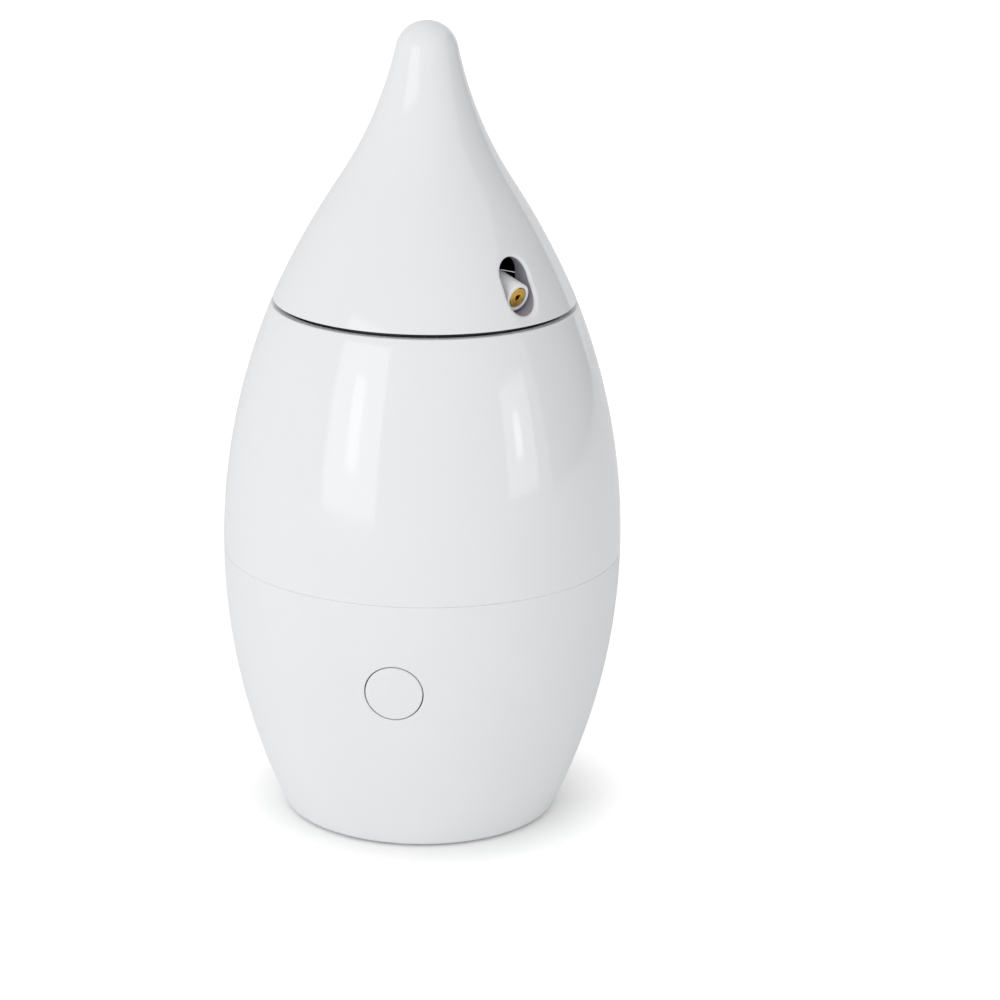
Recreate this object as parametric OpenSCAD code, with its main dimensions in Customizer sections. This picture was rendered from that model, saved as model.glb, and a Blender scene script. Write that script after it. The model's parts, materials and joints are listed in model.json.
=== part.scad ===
/* [Body] */
// Widest diameter of the body
body_d = 105; // [100:0.5:110]
// Height of the belly, where the body is widest
belly_z = 73.4; // [72.5:0.1:74.5]
// Radius of the side's curve below the belly
lower_curve = 172.2; // [165:0.1:180]
// Radius of the side's curve above the belly
upper_curve = 170; // [165:0.5:180]
// Height of the seam between the lower and the upper shell
seam_z = 71.9; // [71:0.1:72.4]
// Height of the upper shell's top rim
rim_z = 137.8; // [137:0.1:139]
// Wall of the two body shells
body_wall = 2.2; // [1.8:0.1:2.4]
// Rounding of the edge that the body stands on
foot_edge_r = 1.4; // [1:0.1:2]
// Floor of the lower shell and deck of the upper shell
plate_t = 2.4; // [2.2:0.1:2.6]
// Depth of the deck below the upper shell's rim
deck_depth = 4.4; // [4.2:0.1:4.6]

/* [Head] */
// Running gap between the body's rim and the head's rim
head_gap = 1.15; // [1:0.05:1.3]
// Radius of the head's lower rim
head_rim_r = 39.4; // [39:0.1:39.7]
// Lean of the head's side at its lower rim, from the vertical
rim_lean = 23.6; // [22.8:0.1:24.4]
// Radius of the shoulder, which curves outwards
shoulder_r = 201.8; // [200:0.1:204]
// Lean of the side where the shoulder ends
mid_lean = 33.56; // [33.4:0.02:33.7]
// Radius of the neck, which curves inwards
neck_r = 102.6; // [102:0.1:103]
// Lean of the side where the round tip begins
tip_lean = 12.3; // [11.9:0.1:12.7]
// Wall of the head's shell
head_wall = 2; // [1.6:0.1:2.2]
// Heading of the first laser at rest, round from the button
head_heading = 50.6; // [40:0.1:60]

/* [Lasers] */
// Width of the slot that a laser looks out of
slot_w = 9.3; // [9:0.1:9.8]
// Height of the slot's lower end
slot_z = 141.1; // [140.8:0.1:141.2]
// Height of the slot, end to end
slot_h = 14; // [13.8:0.1:14.6]
// Distance from the head's axis to the inner end of the slot's collar
collar_in = 28.6; // [27.5:0.1:29.5]
// Diameter of the white tube that holds a laser
tube_d = 7.4; // [7:0.1:7.4]
// Length of the tube in front of its pivot
tube_front = 21.3; // [20:0.1:21.6]
// Length of the tube behind its pivot
tube_back = 6; // [5:0.1:7]
// Distance from the head's axis to a laser's pivot
pivot_y = 14; // [13.6:0.1:14.4]
// Height of the lasers' pivots
pivot_z = 150.7; // [150.6:0.1:151]
// How far a laser points down at rest
rest_tilt = 14.8; // [13:0.1:14.9]
// Diameter of the pivot pins
pivot_d = 2.4; // [2:0.1:2.6]
// Diameter of the brass laser module
module_d = 6; // [5.6:0.1:6]
// Diameter of the module's nose in the tube's mouth
nose_d = 5.2; // [4.8:0.1:5.3]
// Length of the brass module
module_l = 13; // [11:0.1:15]
// Diameter of the opening that the beam leaves by
beam_hole_d = 1.5; // [1.2:0.1:2]

/* [Button] */
// Diameter of the button's hole
button_hole_d = 15.2; // [14:0.1:16]
// Height of the button's centre
button_z = 47.9; // [46:0.1:50]
// Gap all round the button
button_gap = 0.3; // [0.2:0.05:0.5]
// Depth of the button's collar behind the wall
button_collar_t = 1.2; // [1:0.1:1.5]
// Travel of the button
button_travel = 0.5; // [0.3:0.05:0.6]

/* [Batteries] */
// Diameter of a cell
cell_d = 14.5; // [14:0.1:14.6]
// Length of a cell with its tip
cell_l = 50.5; // [49:0.1:51]
// Distance between neighbouring cells' axes
cell_pitch = 15.2; // [14.9:0.1:15.4]
// Wall of the battery case
case_wall = 1.5; // [1.2:0.1:1.8]
// Height of a contact spring with its cell in place
spring_h = 4.5; // [4:0.1:5.5]
// Wire of a contact spring
spring_wire_d = 0.7; // [0.5:0.05:0.8]
// Turns of a contact spring
spring_turns = 3.5; // [3:0.5:4]
// Thickness of a contact plate
contact_t = 0.4; // [0.3:0.1:0.5]
// Half the width of the battery door
door_half = 17.8; // [17.6:0.1:18.2]

/* [Drive] */
// Diameter of the spindle that carries the head
spindle_d = 8; // [7.6:0.1:8.4]
// Bore of the spindle, for the wires
spindle_bore_d = 4.8; // [4:0.1:5]
// Module of the two fast gear pairs
fast_module = 0.6; // [0.58:0.01:0.61]
// Module of the pair that turns the head
slow_module = 0.8; // [0.78:0.01:0.82]
// Teeth of each pinion
pinion_teeth = 10; // [10:1:10]
// Teeth of each large wheel
wheel_teeth = 36; // [34:1:36]
// Teeth of the gear on the spindle
output_teeth = 50; // [50:2:52]
// Width of the fast wheels
wheel_t = 3.5; // [3:0.1:3.6]
// Width of the gear on the spindle
output_t = 4; // [3.5:0.1:4.2]
// Diameter of the fixed gear axles
axle_d = 2; // [1.8:0.1:2.2]
// Diameter of the motor
motor_d = 20; // [19:0.1:20.2]
// Length of the motor's can
motor_l = 25; // [20:0.1:28]
// Diameter of the motor's shaft
shaft_d = 2; // [1.8:0.1:2.2]
// Height between the gearbox plate and the deck
gearbox_h = 18.6; // [18.4:0.1:19]

/* [Boards and screws] */
// Width of the main circuit board
board_w = 34; // [30:0.1:36]
// Height of the main circuit board
board_h = 30; // [28:0.1:32]
// Thickness of a circuit board
board_t = 1.6; // [1.2:0.1:1.8]
// Distance of the main board's front face from the axis of a body 105 mm wide
board_y = 38.4; // [38.2:0.1:38.6]
// Distance of the three body screws from the axis
post_r = 29; // [28.6:0.1:29.2]
// Diameter of the body screws
body_screw_d = 2.9; // [2.6:0.1:3]
// Diameter of the small screws
small_screw_d = 2.1; // [1.8:0.1:2.2]
// Diameter of a rubber foot
foot_d = 10; // [8:0.1:11]
// Thickness of a rubber foot
foot_t = 1.6; // [1.4:0.1:1.8]
// How far a foot stands out of the floor
foot_proud = 0.6; // [0.4:0.1:0.8]
// Diameter of a wire over its insulation
wire_d = 1.2; // [1:0.1:1.3]

/* [Hidden] */
$fn = 96;
// Facets of the long curves of the shells
curve_fn = 360;

// Clearances: between parts that seat on each other, that turn on each other, and that pass each other
seat = 0.05;
run = 0.06;
pass = 0.3;
flat = 0.1;
// Overlap that makes a cut pass right through
through = 1;

white = "#f4f5f6";
satin = "#eceeef";
black = "#2a2b2d";
brass = "#c9a04e";
steel = "#b9bdc2";
copper = "#c0764a";
board_green = "#2f6b45";

// ---- The outline of the body and the head, as half sections ----

reach = body_d;

// The part of a circle's disc that lies between two heights, right of the axis
module disc_band(cx, cz, r, z_lo, z_hi) {
    intersection() {
        translate([cx, cz]) circle(r, $fn = curve_fn);
        translate([0, z_lo]) square([reach, z_hi - z_lo]);
    }
}

function body_r(z) =
    let(r = z < belly_z ? lower_curve : upper_curve)
    body_d/2 - r + sqrt(r*r - pow(z - belly_z, 2));

// The body's half section, drawn in by off, between two heights
module body_band(off, z_lo, z_hi) {
    if (z_lo < belly_z)
        disc_band(body_d/2 - lower_curve, belly_z, lower_curve - off, z_lo, min(z_hi, belly_z));
    if (z_hi > belly_z)
        disc_band(body_d/2 - upper_curve, belly_z, upper_curve - off, max(z_lo, belly_z), z_hi);
}

base_z = foot_proud;
floor_z = base_z + plate_t;
deck_top = rim_z - deck_depth;
deck_z = deck_top - plate_t;
foot_edge_z = base_z + foot_edge_r;
foot_edge_x = body_d/2 - lower_curve + sqrt(pow(lower_curve - foot_edge_r, 2) - pow(foot_edge_z - belly_z, 2));
foot_edge_top = belly_z + (foot_edge_z - belly_z)*lower_curve/(lower_curve - foot_edge_r);

// Head: a shoulder arc, a neck arc that meets it, and a round tip
head_z = rim_z + head_gap;
shoulder_cx = head_rim_r - shoulder_r*cos(rim_lean);
shoulder_cz = head_z - shoulder_r*sin(rim_lean);
neck_start_r = shoulder_cx + shoulder_r*cos(mid_lean);
neck_start_z = shoulder_cz + shoulder_r*sin(mid_lean);
neck_cx = neck_start_r + neck_r*cos(mid_lean);
neck_cz = neck_start_z + neck_r*sin(mid_lean);
tip_start_r = neck_cx - neck_r*cos(tip_lean);
tip_start_z = neck_cz - neck_r*sin(tip_lean);
tip_r = tip_start_r/cos(tip_lean);
tip_cz = tip_start_z - tip_r*sin(tip_lean);

// The bands run this far into each other, where each lies inside the next
blend = 0.5;

// The head's half section, drawn in by off, from z_lo up
module head_band(off, z_lo) {
    neck_lo = neck_start_z - off*sin(mid_lean);
    tip_lo = tip_start_z - off*sin(tip_lean);
    disc_band(shoulder_cx, shoulder_cz, shoulder_r - off, z_lo, neck_lo + blend);
    difference() {
        translate([0, neck_lo]) square([neck_cx, tip_lo - neck_lo]);
        translate([neck_cx, neck_cz]) circle(neck_r + off, $fn = curve_fn);
    }
    disc_band(0, tip_cz, tip_r - off, tip_lo - blend, tip_cz + tip_r);
}

// ---- Small shapes that repeat ----

module ring(r_out, r_in, h) {
    difference() {
        cylinder(r = r_out, h = h);
        translate([0, 0, -through]) cylinder(r = r_in, h = h + 2*through);
    }
}

// A square plate of half width s with corners of radius r
module round_square(s, r) {
    square([2*s, 2*(s - r)], center = true);
    square([2*(s - r), 2*s], center = true);
    for (x = [-1, 1], y = [-1, 1]) translate([x*(s - r), y*(s - r)]) circle(r);
}

// A slot outline with round ends, standing up from its lower end
module upright_slot(w, h) {
    translate([0, w/2]) circle(d = w);
    translate([0, h - w/2]) circle(d = w);
    translate([-w/2, w/2]) square([w, h - w]);
}

// A pan-head screw whose shank runs up from the head's seat at z = 0
module screw(d, l) {
    head_r = d*0.95;
    head_h = d*0.55;
    drive_w = d*0.28;
    difference() {
        union() {
            translate([0, 0, -head_h]) cylinder(r = head_r, h = head_h);
            cylinder(d = d, h = l - d/2);
            translate([0, 0, l - d/2]) cylinder(d1 = d, d2 = d*0.4, h = d/2);
        }
        for (a = [0, 90]) rotate(a)
            translate([-head_r*0.6, -drive_w/2, -head_h - through])
                cube([head_r*1.2, drive_w, through + head_h*0.6]);
    }
}

function screw_head_h(d) = d*0.55;
function screw_head_r(d) = d*0.95;

// ---- Tubes along a line of points ----

function unit(v) = v/norm(v);
function along(p, i) = unit(p[min(i + 1, len(p) - 1)] - p[max(i - 1, 0)]);

// Points between the given ones on one smooth curve
function smooth(p, steps) = [
    for (i = [0:len(p) - 2], k = [0:steps - 1])
        let(a = p[max(i - 1, 0)], b = p[i], c = p[i + 1], d = p[min(i + 2, len(p) - 1)], t = k/steps)
        0.5*(2*b + (c - a)*t + (2*a - 5*b + 4*c - d)*t*t + (3*b - a - 3*c + d)*t*t*t),
    p[len(p) - 1]
];

// A closed tube of radius r along p; side is a direction that the line never takes
module tube(p, r, side, sides = 8) {
    rings = [
        for (i = [0:len(p) - 1])
            let(t = along(p, i), u = unit(cross(side, t)), v = cross(t, u))
            [for (k = [0:sides - 1]) p[i] + r*(cos(360*k/sides)*u + sin(360*k/sides)*v)]
    ];
    last = len(p) - 1;
    polyhedron(
        [for (q = rings, c = q) c],
        concat(
            [[for (k = [sides - 1:-1:0]) k]],
            [for (i = [0:last - 1], k = [0:sides - 1])
                let(n = (k + 1) % sides)
                each [[i*sides + k, i*sides + n, (i + 1)*sides + n], [i*sides + k, (i + 1)*sides + n, (i + 1)*sides + k]]],
            [[for (k = [0:sides - 1]) last*sides + k]]
        )
    );
}

// ---- Gears ----

addendum = 0.8;
dedendum = 1.1;
backlash = 0.16;
pressure = 20;

function involute(a) = tan(a)*180/PI - a;
// Half the angle that a tooth takes up at radius r
function tooth_half(n, m, r) =
    let(pitch_r = n*m/2, base_r = pitch_r*cos(pressure))
    90/n - backlash/2/pitch_r*180/PI + involute(pressure) - involute(acos(min(1, base_r/max(r, base_r))));

module gear_outline(n, m, phase) {
    pitch_r = n*m/2;
    root = pitch_r - dedendum*m;
    tip = pitch_r + addendum*m;
    flank = max(root + 0.1*m, pitch_r*cos(pressure));
    radii = [root, flank, (flank + pitch_r)/2, pitch_r, (pitch_r + tip)/2, tip];
    side = [for (r = radii) [r, tooth_half(n, m, r)]];
    polygon([
        for (i = [0:n - 1])
            let(a = phase + 360*i/n)
            each concat(
                [for (s = side) s[0]*[cos(a - s[1]), sin(a - s[1])]],
                [for (k = [len(side) - 1:-1:0]) side[k][0]*[cos(a + side[k][1]), sin(a + side[k][1])]]
            )
    ]);
}

module gear(n, m, t, phase) {
    linear_extrude(t) gear_outline(n, m, phase);
}

// The phase of gear b that meshes with gear a, whose centre lies back along direction
function mesh_phase(teeth_a, phase_a, teeth_b, direction) =
    direction + 180 - (0.5 - (direction - phase_a)*teeth_a/360)*360/teeth_b;

// Gear centres: the second gear behind the spindle, the first beside it, and the motor
second_dir = 90;
first_dir = 20;
motor_dir = -103;
slow_distance = (output_teeth + pinion_teeth)*slow_module/2;
fast_distance = (wheel_teeth + pinion_teeth)*fast_module/2;
second_at = slow_distance*[cos(second_dir), sin(second_dir)];
first_at = second_at + fast_distance*[cos(first_dir), sin(first_dir)];
motor_at = first_at + fast_distance*[cos(motor_dir), sin(motor_dir)];

gearbox_z = deck_z - gearbox_h;
first_wheel_z = gearbox_z + 0.8;
second_wheel_z = first_wheel_z + wheel_t + 0.9;
output_top = deck_z - 2;
output_z = output_top - output_t;
axle_boss_h = 1.4;
hub_r = axle_d;
bush_flange_t = 0.8;
washer_t = 0.5;
bush_wall = 3;

// ---- Body shells ----

post_angles = [30, 150, 270];
post_d = 7.5;
tower_d = 9;
tower_z = seam_z - 6;
tower_seat = 6;
body_screw_l = 16;
tongue_h = 2.2;
tongue_t = 1.4;
tongue_root = 3;
seam_r = body_r(seam_z) - body_wall;
foot_angles = [60, 180, 300];
case_half = cell_pitch/2 + cell_d/2 + 0.15 + case_wall;
bay_half = case_half - case_wall;
bay_corner = cell_d/2 + 0.15;
door_corner = 6;
door_ear_y = 23;
door_ear_r = 3.2;
door_boss_r = 5;
door_boss_h = 7;
ear_x = 24.5;
ear_r = 3.2;
ear_z = floor_z + 6;
ear_t = 2;
board_screw_x = board_w/2 - 4;
// The board keeps its distance from the wall when the body is made wider or narrower
board_at = board_y + (body_d - 105)/2;
board_low = button_z - 12;
board_screw_z = [board_low + 3.5, board_low + board_h - 3.5];

module door_outline(grow) {
    round_square(door_half + grow, door_corner + grow);
    for (s = [-1, 1]) translate([0, s*door_ear_y]) circle(door_ear_r + grow);
    square([2*(door_ear_r + grow), 2*door_ear_y], center = true);
}

module at_posts() {
    for (a = post_angles) rotate(a) translate([post_r, 0, 0]) children();
}

module at_feet() {
    for (a = foot_angles) rotate(a) translate([post_r, 0, 0]) children();
}

module lower_shell() {
    color(satin) difference() {
        union() {
            rotate_extrude() difference() {
                union() {
                    translate([0, base_z]) square([foot_edge_x, foot_edge_top - base_z]);
                    disc_band(foot_edge_x, foot_edge_z, foot_edge_r, base_z, foot_edge_top);
                    body_band(0, foot_edge_top, seam_z);
                }
                body_band(body_wall, floor_z, seam_z + through);
            }
            // The tongue that centres the upper shell
            translate([0, 0, seam_z - tongue_root]) ring(seam_r + 0.3, seam_r - tongue_t, tongue_root);
            translate([0, 0, seam_z]) ring(seam_r - seat, seam_r - tongue_t, tongue_h);
            at_posts() translate([0, 0, base_z]) cylinder(d = tower_d, h = tower_z - base_z);
            for (s = [-1, 1]) {
                translate([s*ear_x, 0, base_z]) cylinder(r = ear_r, h = ear_z - base_z);
                translate([0, s*door_ear_y, floor_z]) cylinder(r = door_boss_r, h = door_boss_h);
            }
            intersection() {
                for (x = [-1, 1], z = board_screw_z)
                    translate([x*board_screw_x, -board_at, z]) rotate([90, 0, 0]) cylinder(r = 2.6, h = 20);
                rotate_extrude() body_band(body_wall/2, floor_z, seam_z);
            }
        }
        // Body screws drop into deep wells
        at_posts() {
            translate([0, 0, base_z - through])
                cylinder(r = screw_head_r(body_screw_d) + pass, h = tower_z - tower_seat - base_z + through);
            cylinder(d = body_screw_d + 2*seat, h = seam_z);
        }
        at_feet() translate([0, 0, base_z - through]) cylinder(d = foot_d + 2*flat, h = foot_t - foot_proud + through);
        translate([0, 0, base_z - through]) linear_extrude(plate_t + through) door_outline(0.25);
        for (s = [-1, 1]) {
            translate([s*ear_x, 0, floor_z]) cylinder(d = small_screw_d + 2*seat, h = 10);
            translate([0, s*door_ear_y, base_z]) cylinder(d = small_screw_d + 2*seat, h = 8.4);
        }
        for (x = [-1, 1], z = board_screw_z)
            translate([x*board_screw_x, -board_at + through, z]) rotate([90, 0, 0])
                cylinder(d = small_screw_d + 2*seat, h = 4.5 + through);
        translate([0, -board_at, button_z]) rotate([90, 0, 0]) cylinder(d = button_hole_d, h = body_d);
    }
}

// Pillars under the deck that the gearbox plate is screwed to
pillar_at = [[-16, 20.5], [27, 24], [-18, -17.5], [18, -17.5]];
pillar_r = 3;

module upper_shell() {
    color(white) difference() {
        union() {
            rotate_extrude() difference() {
                body_band(0, seam_z, rim_z);
                body_band(body_wall, seam_z - through, deck_z);
                body_band(body_wall, deck_top, rim_z + through);
            }
            at_posts() translate([0, 0, tower_z]) cylinder(d = post_d, h = deck_z - tower_z + plate_t/2);
            for (p = pillar_at)
                translate([p[0], p[1], gearbox_z]) cylinder(r = pillar_r, h = deck_z - gearbox_z + plate_t/2);
            for (p = [first_at, second_at])
                translate([p[0], p[1], deck_z - axle_boss_h]) cylinder(d = axle_d + 3, h = axle_boss_h + plate_t/2);
        }
        at_posts() translate([0, 0, tower_z - through])
            cylinder(d = body_screw_d + 2*seat, h = body_screw_l - tower_seat + through + 1);
        for (p = pillar_at) translate([p[0], p[1], gearbox_z - through])
            cylinder(d = small_screw_d + 2*seat, h = 9 + through);
        for (p = [first_at, second_at]) translate([p[0], p[1], deck_z - axle_boss_h - through])
            cylinder(d = axle_d + 2*seat, h = axle_boss_h + plate_t/2 + through);
        translate([0, 0, deck_z - through]) cylinder(d = spindle_d + 2*bush_wall + 2*seat, h = plate_t + 2*through);
    }
}

module rubber_feet() {
    color("#3a3b3d") at_feet() difference() {
        cylinder(d = foot_d, h = foot_t);
        translate([0, 0, foot_t - 0.5]) ring(foot_d*0.3, foot_d*0.2, 0.5 + through);
    }
}

module shell_screws() {
    color(steel) at_posts() translate([0, 0, tower_z - tower_seat]) screw(body_screw_d, body_screw_l);
}

// ---- Batteries ----

door_top = floor_z - flat;
door_plate_z = door_top + contact_t;
bay_top = door_plate_z + cell_l + spring_h;
case_top = bay_top + contact_t + 2;
cell_tip_h = 1;
cell_tip_d = 5.2;
// Which way up each cell stands, and where
cell_at = [[-1, -1, 1], [1, -1, -1], [1, 1, 1], [-1, 1, -1]];

module battery_case() {
    color(black) difference() {
        union() {
            translate([0, 0, floor_z]) linear_extrude(case_top - floor_z) round_square(case_half, bay_corner + case_wall);
            translate([0, 0, floor_z]) linear_extrude(1.6) round_square(door_half + 2, door_corner + 2);
            for (s = [-1, 1]) {
                translate([s*ear_x, 0, ear_z]) cylinder(r = ear_r, h = ear_t);
                translate([s*(ear_x + case_half - 0.5)/2, 0, ear_z + ear_t/2])
                    cube([ear_x - case_half + 0.5, 2*ear_r, ear_t], center = true);
            }
        }
        translate([0, 0, floor_z - through])
            linear_extrude(bay_top + contact_t - floor_z + through) round_square(bay_half, bay_corner);
        for (s = [-1, 1]) {
            translate([s*ear_x, 0, ear_z - through]) cylinder(d = small_screw_d + 2*seat, h = ear_t + 2*through);
            translate([0, s*door_ear_y, floor_z - through]) cylinder(r = door_boss_r + pass, h = 10);
        }
        // Slots in the roof for the contacts' tails
        for (s = [-1, 1]) translate([s*cell_pitch/2, -cell_pitch/2, bay_top]) cube([3, 0.8, 12], center = true);
    }
}

module case_screws() {
    color(steel) for (s = [-1, 1])
        translate([s*ear_x, 0, ear_z + ear_t]) mirror([0, 0, 1]) screw(small_screw_d, 7);
}

module battery_cell() {
    body_l = cell_l - cell_tip_h;
    rotate_extrude() {
        square([cell_d/2 - 0.5, body_l]);
        translate([0, 0.5]) square([cell_d/2, body_l - 1]);
        translate([cell_d/2 - 0.5, 0.5]) circle(0.5);
        translate([cell_d/2 - 0.5, body_l - 0.5]) circle(0.5);
        square([cell_tip_d/2, cell_l]);
    }
}

module battery_cells() {
    color("#8f6a3a") for (c = cell_at)
        translate([c[0]*cell_pitch/2, c[1]*cell_pitch/2, 0])
            if (c[2] > 0) translate([0, 0, door_plate_z + spring_h]) battery_cell();
            else translate([0, 0, door_plate_z + cell_l + flat]) mirror([0, 0, 1]) battery_cell();
}

// A contact plate under one pair of cells, or over one cell
module contact_plate(w, l) {
    linear_extrude(contact_t) square([w, l], center = true);
}

contact_w = 8.4;

module case_contacts() {
    color(steel) translate([0, 0, bay_top]) {
        translate([0, cell_pitch/2, 0]) contact_plate(cell_pitch + contact_w, contact_w);
        for (s = [-1, 1]) {
            translate([s*cell_pitch/2, -cell_pitch/2, 0]) contact_plate(contact_w, contact_w);
            translate([s*cell_pitch/2, -cell_pitch/2, 2.4]) cube([2.4, contact_t, 4.6], center = true);
        }
    }
}

// A cone-shaped coil that stands on its wide end
module contact_spring() {
    wire = spring_wire_d/2;
    base_r = contact_w/2 - wire;
    top_r = cell_tip_d/2 - wire;
    climb = spring_h - 2*wire - flat;
    steps = 20*spring_turns;
    points = [
        for (i = [0:steps])
            let(t = i/steps, r = base_r + (top_r - base_r)*t, a = 360*spring_turns*t)
            [r*cos(a), r*sin(a), wire + climb*t]
    ];
    tube(points, wire, [0, 0, 1], 6);
}

module case_springs() {
    color(steel) for (c = cell_at) if (c[2] < 0)
        translate([c[0]*cell_pitch/2, c[1]*cell_pitch/2, bay_top]) mirror([0, 0, 1]) contact_spring();
}

module battery_door() {
    color(satin) difference() {
        union() {
            translate([0, 0, base_z]) linear_extrude(door_top - base_z) door_outline(0);
            // The rim that centres the door in the case
            translate([0, 0, door_top]) linear_extrude(0.9) difference() {
                round_square(bay_half - pass, bay_corner - pass);
                round_square(bay_half - pass - 0.9, bay_corner - pass - 0.9);
            }
        }
        for (s = [-1, 1]) translate([0, s*door_ear_y, base_z - through]) {
            cylinder(d = small_screw_d + 2*seat, h = 10);
            cylinder(r = screw_head_r(small_screw_d) + seat, h = through + screw_head_h(small_screw_d) + 0.1);
        }
        // A finger notch
        translate([door_half, 0, base_z - through]) cylinder(r = 3, h = through + 0.8);
    }
}

module door_screws() {
    color(steel) for (s = [-1, 1])
        translate([0, s*door_ear_y, base_z + 0.1 + screw_head_h(small_screw_d)]) screw(small_screw_d, 6);
}

module door_contacts() {
    color(steel) for (s = [-1, 1])
        translate([s*cell_pitch/2, 0, door_top]) contact_plate(contact_w, cell_pitch + contact_w);
}

module door_springs() {
    color(steel) for (c = cell_at) if (c[2] > 0)
        translate([c[0]*cell_pitch/2, c[1]*cell_pitch/2, door_plate_z]) contact_spring();
}

// ---- Button and main board ----

button_r = button_hole_d/2 - button_gap;
collar_r = button_r + 1.5;
// The collar stays clear of the shell's inner wall at its low outer corner
collar_y = sqrt(pow(body_r(button_z - collar_r) - body_wall, 2) - pow(collar_r, 2)) - pass;
switch_w = 6;
switch_h = 3.5;
plunger_r = 1.75;
plunger_y = board_at + switch_h;
plunger_l = 1.4;

module power_button() {
    color(white) {
        intersection() {
            translate([0, 0, button_z]) rotate([90, 0, 0]) translate([0, 0, collar_y - 0.6]) cylinder(r = button_r, h = 20);
            rotate_extrude() body_band(0, floor_z, seam_z);
        }
        translate([0, -(collar_y - button_collar_t), button_z]) rotate([90, 0, 0]) cylinder(r = collar_r, h = button_collar_t);
        translate([0, -(plunger_y + plunger_l + flat), button_z]) rotate([90, 0, 0])
            cylinder(r = plunger_r + 0.4, h = collar_y - plunger_y - plunger_l - flat);
    }
}

module switch_body() {
    color(black) translate([0, -board_at, button_z]) rotate([90, 0, 0]) difference() {
        union() {
            translate([0, 0, (switch_h - 0.4)/2]) cube([switch_w, switch_w, switch_h - 0.4], center = true);
            cylinder(r = 2.6, h = switch_h);
        }
        translate([0, 0, switch_h - button_travel - 0.8]) cylinder(r = plunger_r + run, h = 5);
    }
}

module switch_plunger() {
    color("#b23a30") translate([0, -(plunger_y - 0.2), button_z]) rotate([90, 0, 0])
        cylinder(r = plunger_r, h = plunger_l + 0.2);
}

module main_board() {
    color(board_green) difference() {
        translate([-board_w/2, -board_at, board_low]) cube([board_w, board_t, board_h]);
        for (x = [-1, 1], z = board_screw_z)
            translate([x*board_screw_x, -board_at + board_t + through, z]) rotate([90, 0, 0])
                cylinder(d = small_screw_d + 2*seat, h = board_t + 2*through);
    }
}

board_back = -board_at + board_t;

// Width, thickness and height of the controller, of a connector and of a resistor
chip = [7, 1.6, 9];
chip_x = -12;
header = [6, 5, 5.6];
header_wall = 0.8;
header_floor = 1;
header_x = [-11, 5];
header_drop = 7;
resistor = [2, 0.6, 1.2];
resistor_x = -3.5;
resistor_up = 4;
resistor_pitch = 2.4;
capacitor_d = 5;
capacitor_l = 5;
capacitor_x = 8;
capacitor_up = [5, 11];

// Controller, connectors, capacitors and resistors on the back of the main board
module board_parts() {
    color(black) translate([chip_x, board_back, button_z - chip[2]/3]) cube(chip);
    color("#efe9d8") for (x = header_x) translate([x, board_back, board_low + board_h - header_drop]) difference() {
        cube(header);
        translate([header_wall, header_wall, header_floor])
            cube([header[0] - 2*header_wall, header[1] - 2*header_wall, header[2]]);
    }
    color("#24384f") for (up = capacitor_up)
        translate([capacitor_x, board_back, board_low + up]) rotate([-90, 0, 0]) cylinder(d = capacitor_d, h = capacitor_l);
    color(black) for (i = [0:3])
        translate([resistor_x, board_back, board_low + resistor_up + resistor_pitch*i]) cube(resistor);
}

module board_screws() {
    color(steel) for (x = [-1, 1], z = board_screw_z)
        translate([x*board_screw_x, board_back, z]) rotate([90, 0, 0]) screw(small_screw_d, board_t + 4);
}

// ---- Gearbox and drive ----

bush_r = spindle_d/2 + bush_wall;
plate_bush_r = spindle_d/2 + 1.5;
clip_t = 0.8;
clip_z = gearbox_z - plate_t - bush_flange_t - 0.1 - clip_t;
clip_groove = 0.6;
plate_low = gearbox_z - plate_t;
// The gearbox plate: a rectangle with its corners cut by a circle
plate_reach = 38;
plate_corner = [-22, -21.5];
plate_size = [53, 60];
pillar_bite = 8;
motor_screw_r = motor_d*0.32;
motor_boss_r = 3;
motor_boss_t = 1.5;
terminal_r = motor_d*0.36;
terminal_l = 3;
brush_x = -13;
brush_screw_at = [[brush_x - 1.5, -5], [brush_x - 1.5, 11]];

module gearbox_plate() {
    color(black) difference() {
        translate([0, 0, plate_low]) linear_extrude(plate_t) difference() {
            intersection() {
                circle(plate_reach);
                translate(plate_corner) square(plate_size);
            }
            for (a = post_angles) rotate(a) translate([post_r, 0]) circle(d = post_d + 2*pass);
            circle(plate_bush_r + seat);
            for (p = [first_at, second_at]) translate(p) circle(d = axle_d + 2*seat);
            for (p = concat(pillar_at, brush_screw_at)) translate(p) circle(d = small_screw_d + 2*seat);
            translate(motor_at) circle(motor_boss_r + 2*seat);
            for (s = [-1, 1]) translate(motor_at + [0, s*motor_screw_r]) circle(d = small_screw_d + 2*seat);
        }
        // Wells for the motor screws' heads
        for (s = [-1, 1]) translate([motor_at[0], motor_at[1] + s*motor_screw_r, gearbox_z - screw_head_h(small_screw_d)])
            cylinder(r = screw_head_r(small_screw_d) + seat, h = plate_t);
    }
}

module gearbox_screws() {
    color(steel) for (p = pillar_at) translate([p[0], p[1], plate_low]) screw(small_screw_d, plate_t + pillar_bite);
}

module gear_axles() {
    color(steel) for (p = [first_at, second_at])
        translate([p[0], p[1], plate_low]) cylinder(d = axle_d, h = gearbox_h + plate_t + plate_t/2 - flat);
}

module deck_bush() {
    color("#e8e2cf") translate([0, 0, deck_z]) difference() {
        union() {
            cylinder(r = bush_r, h = plate_t + bush_flange_t);
            translate([0, 0, plate_t]) cylinder(r = bush_r + 2, h = bush_flange_t);
        }
        translate([0, 0, -through]) cylinder(d = spindle_d + 2*run, h = plate_t + bush_flange_t + 2*through);
    }
}

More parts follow.
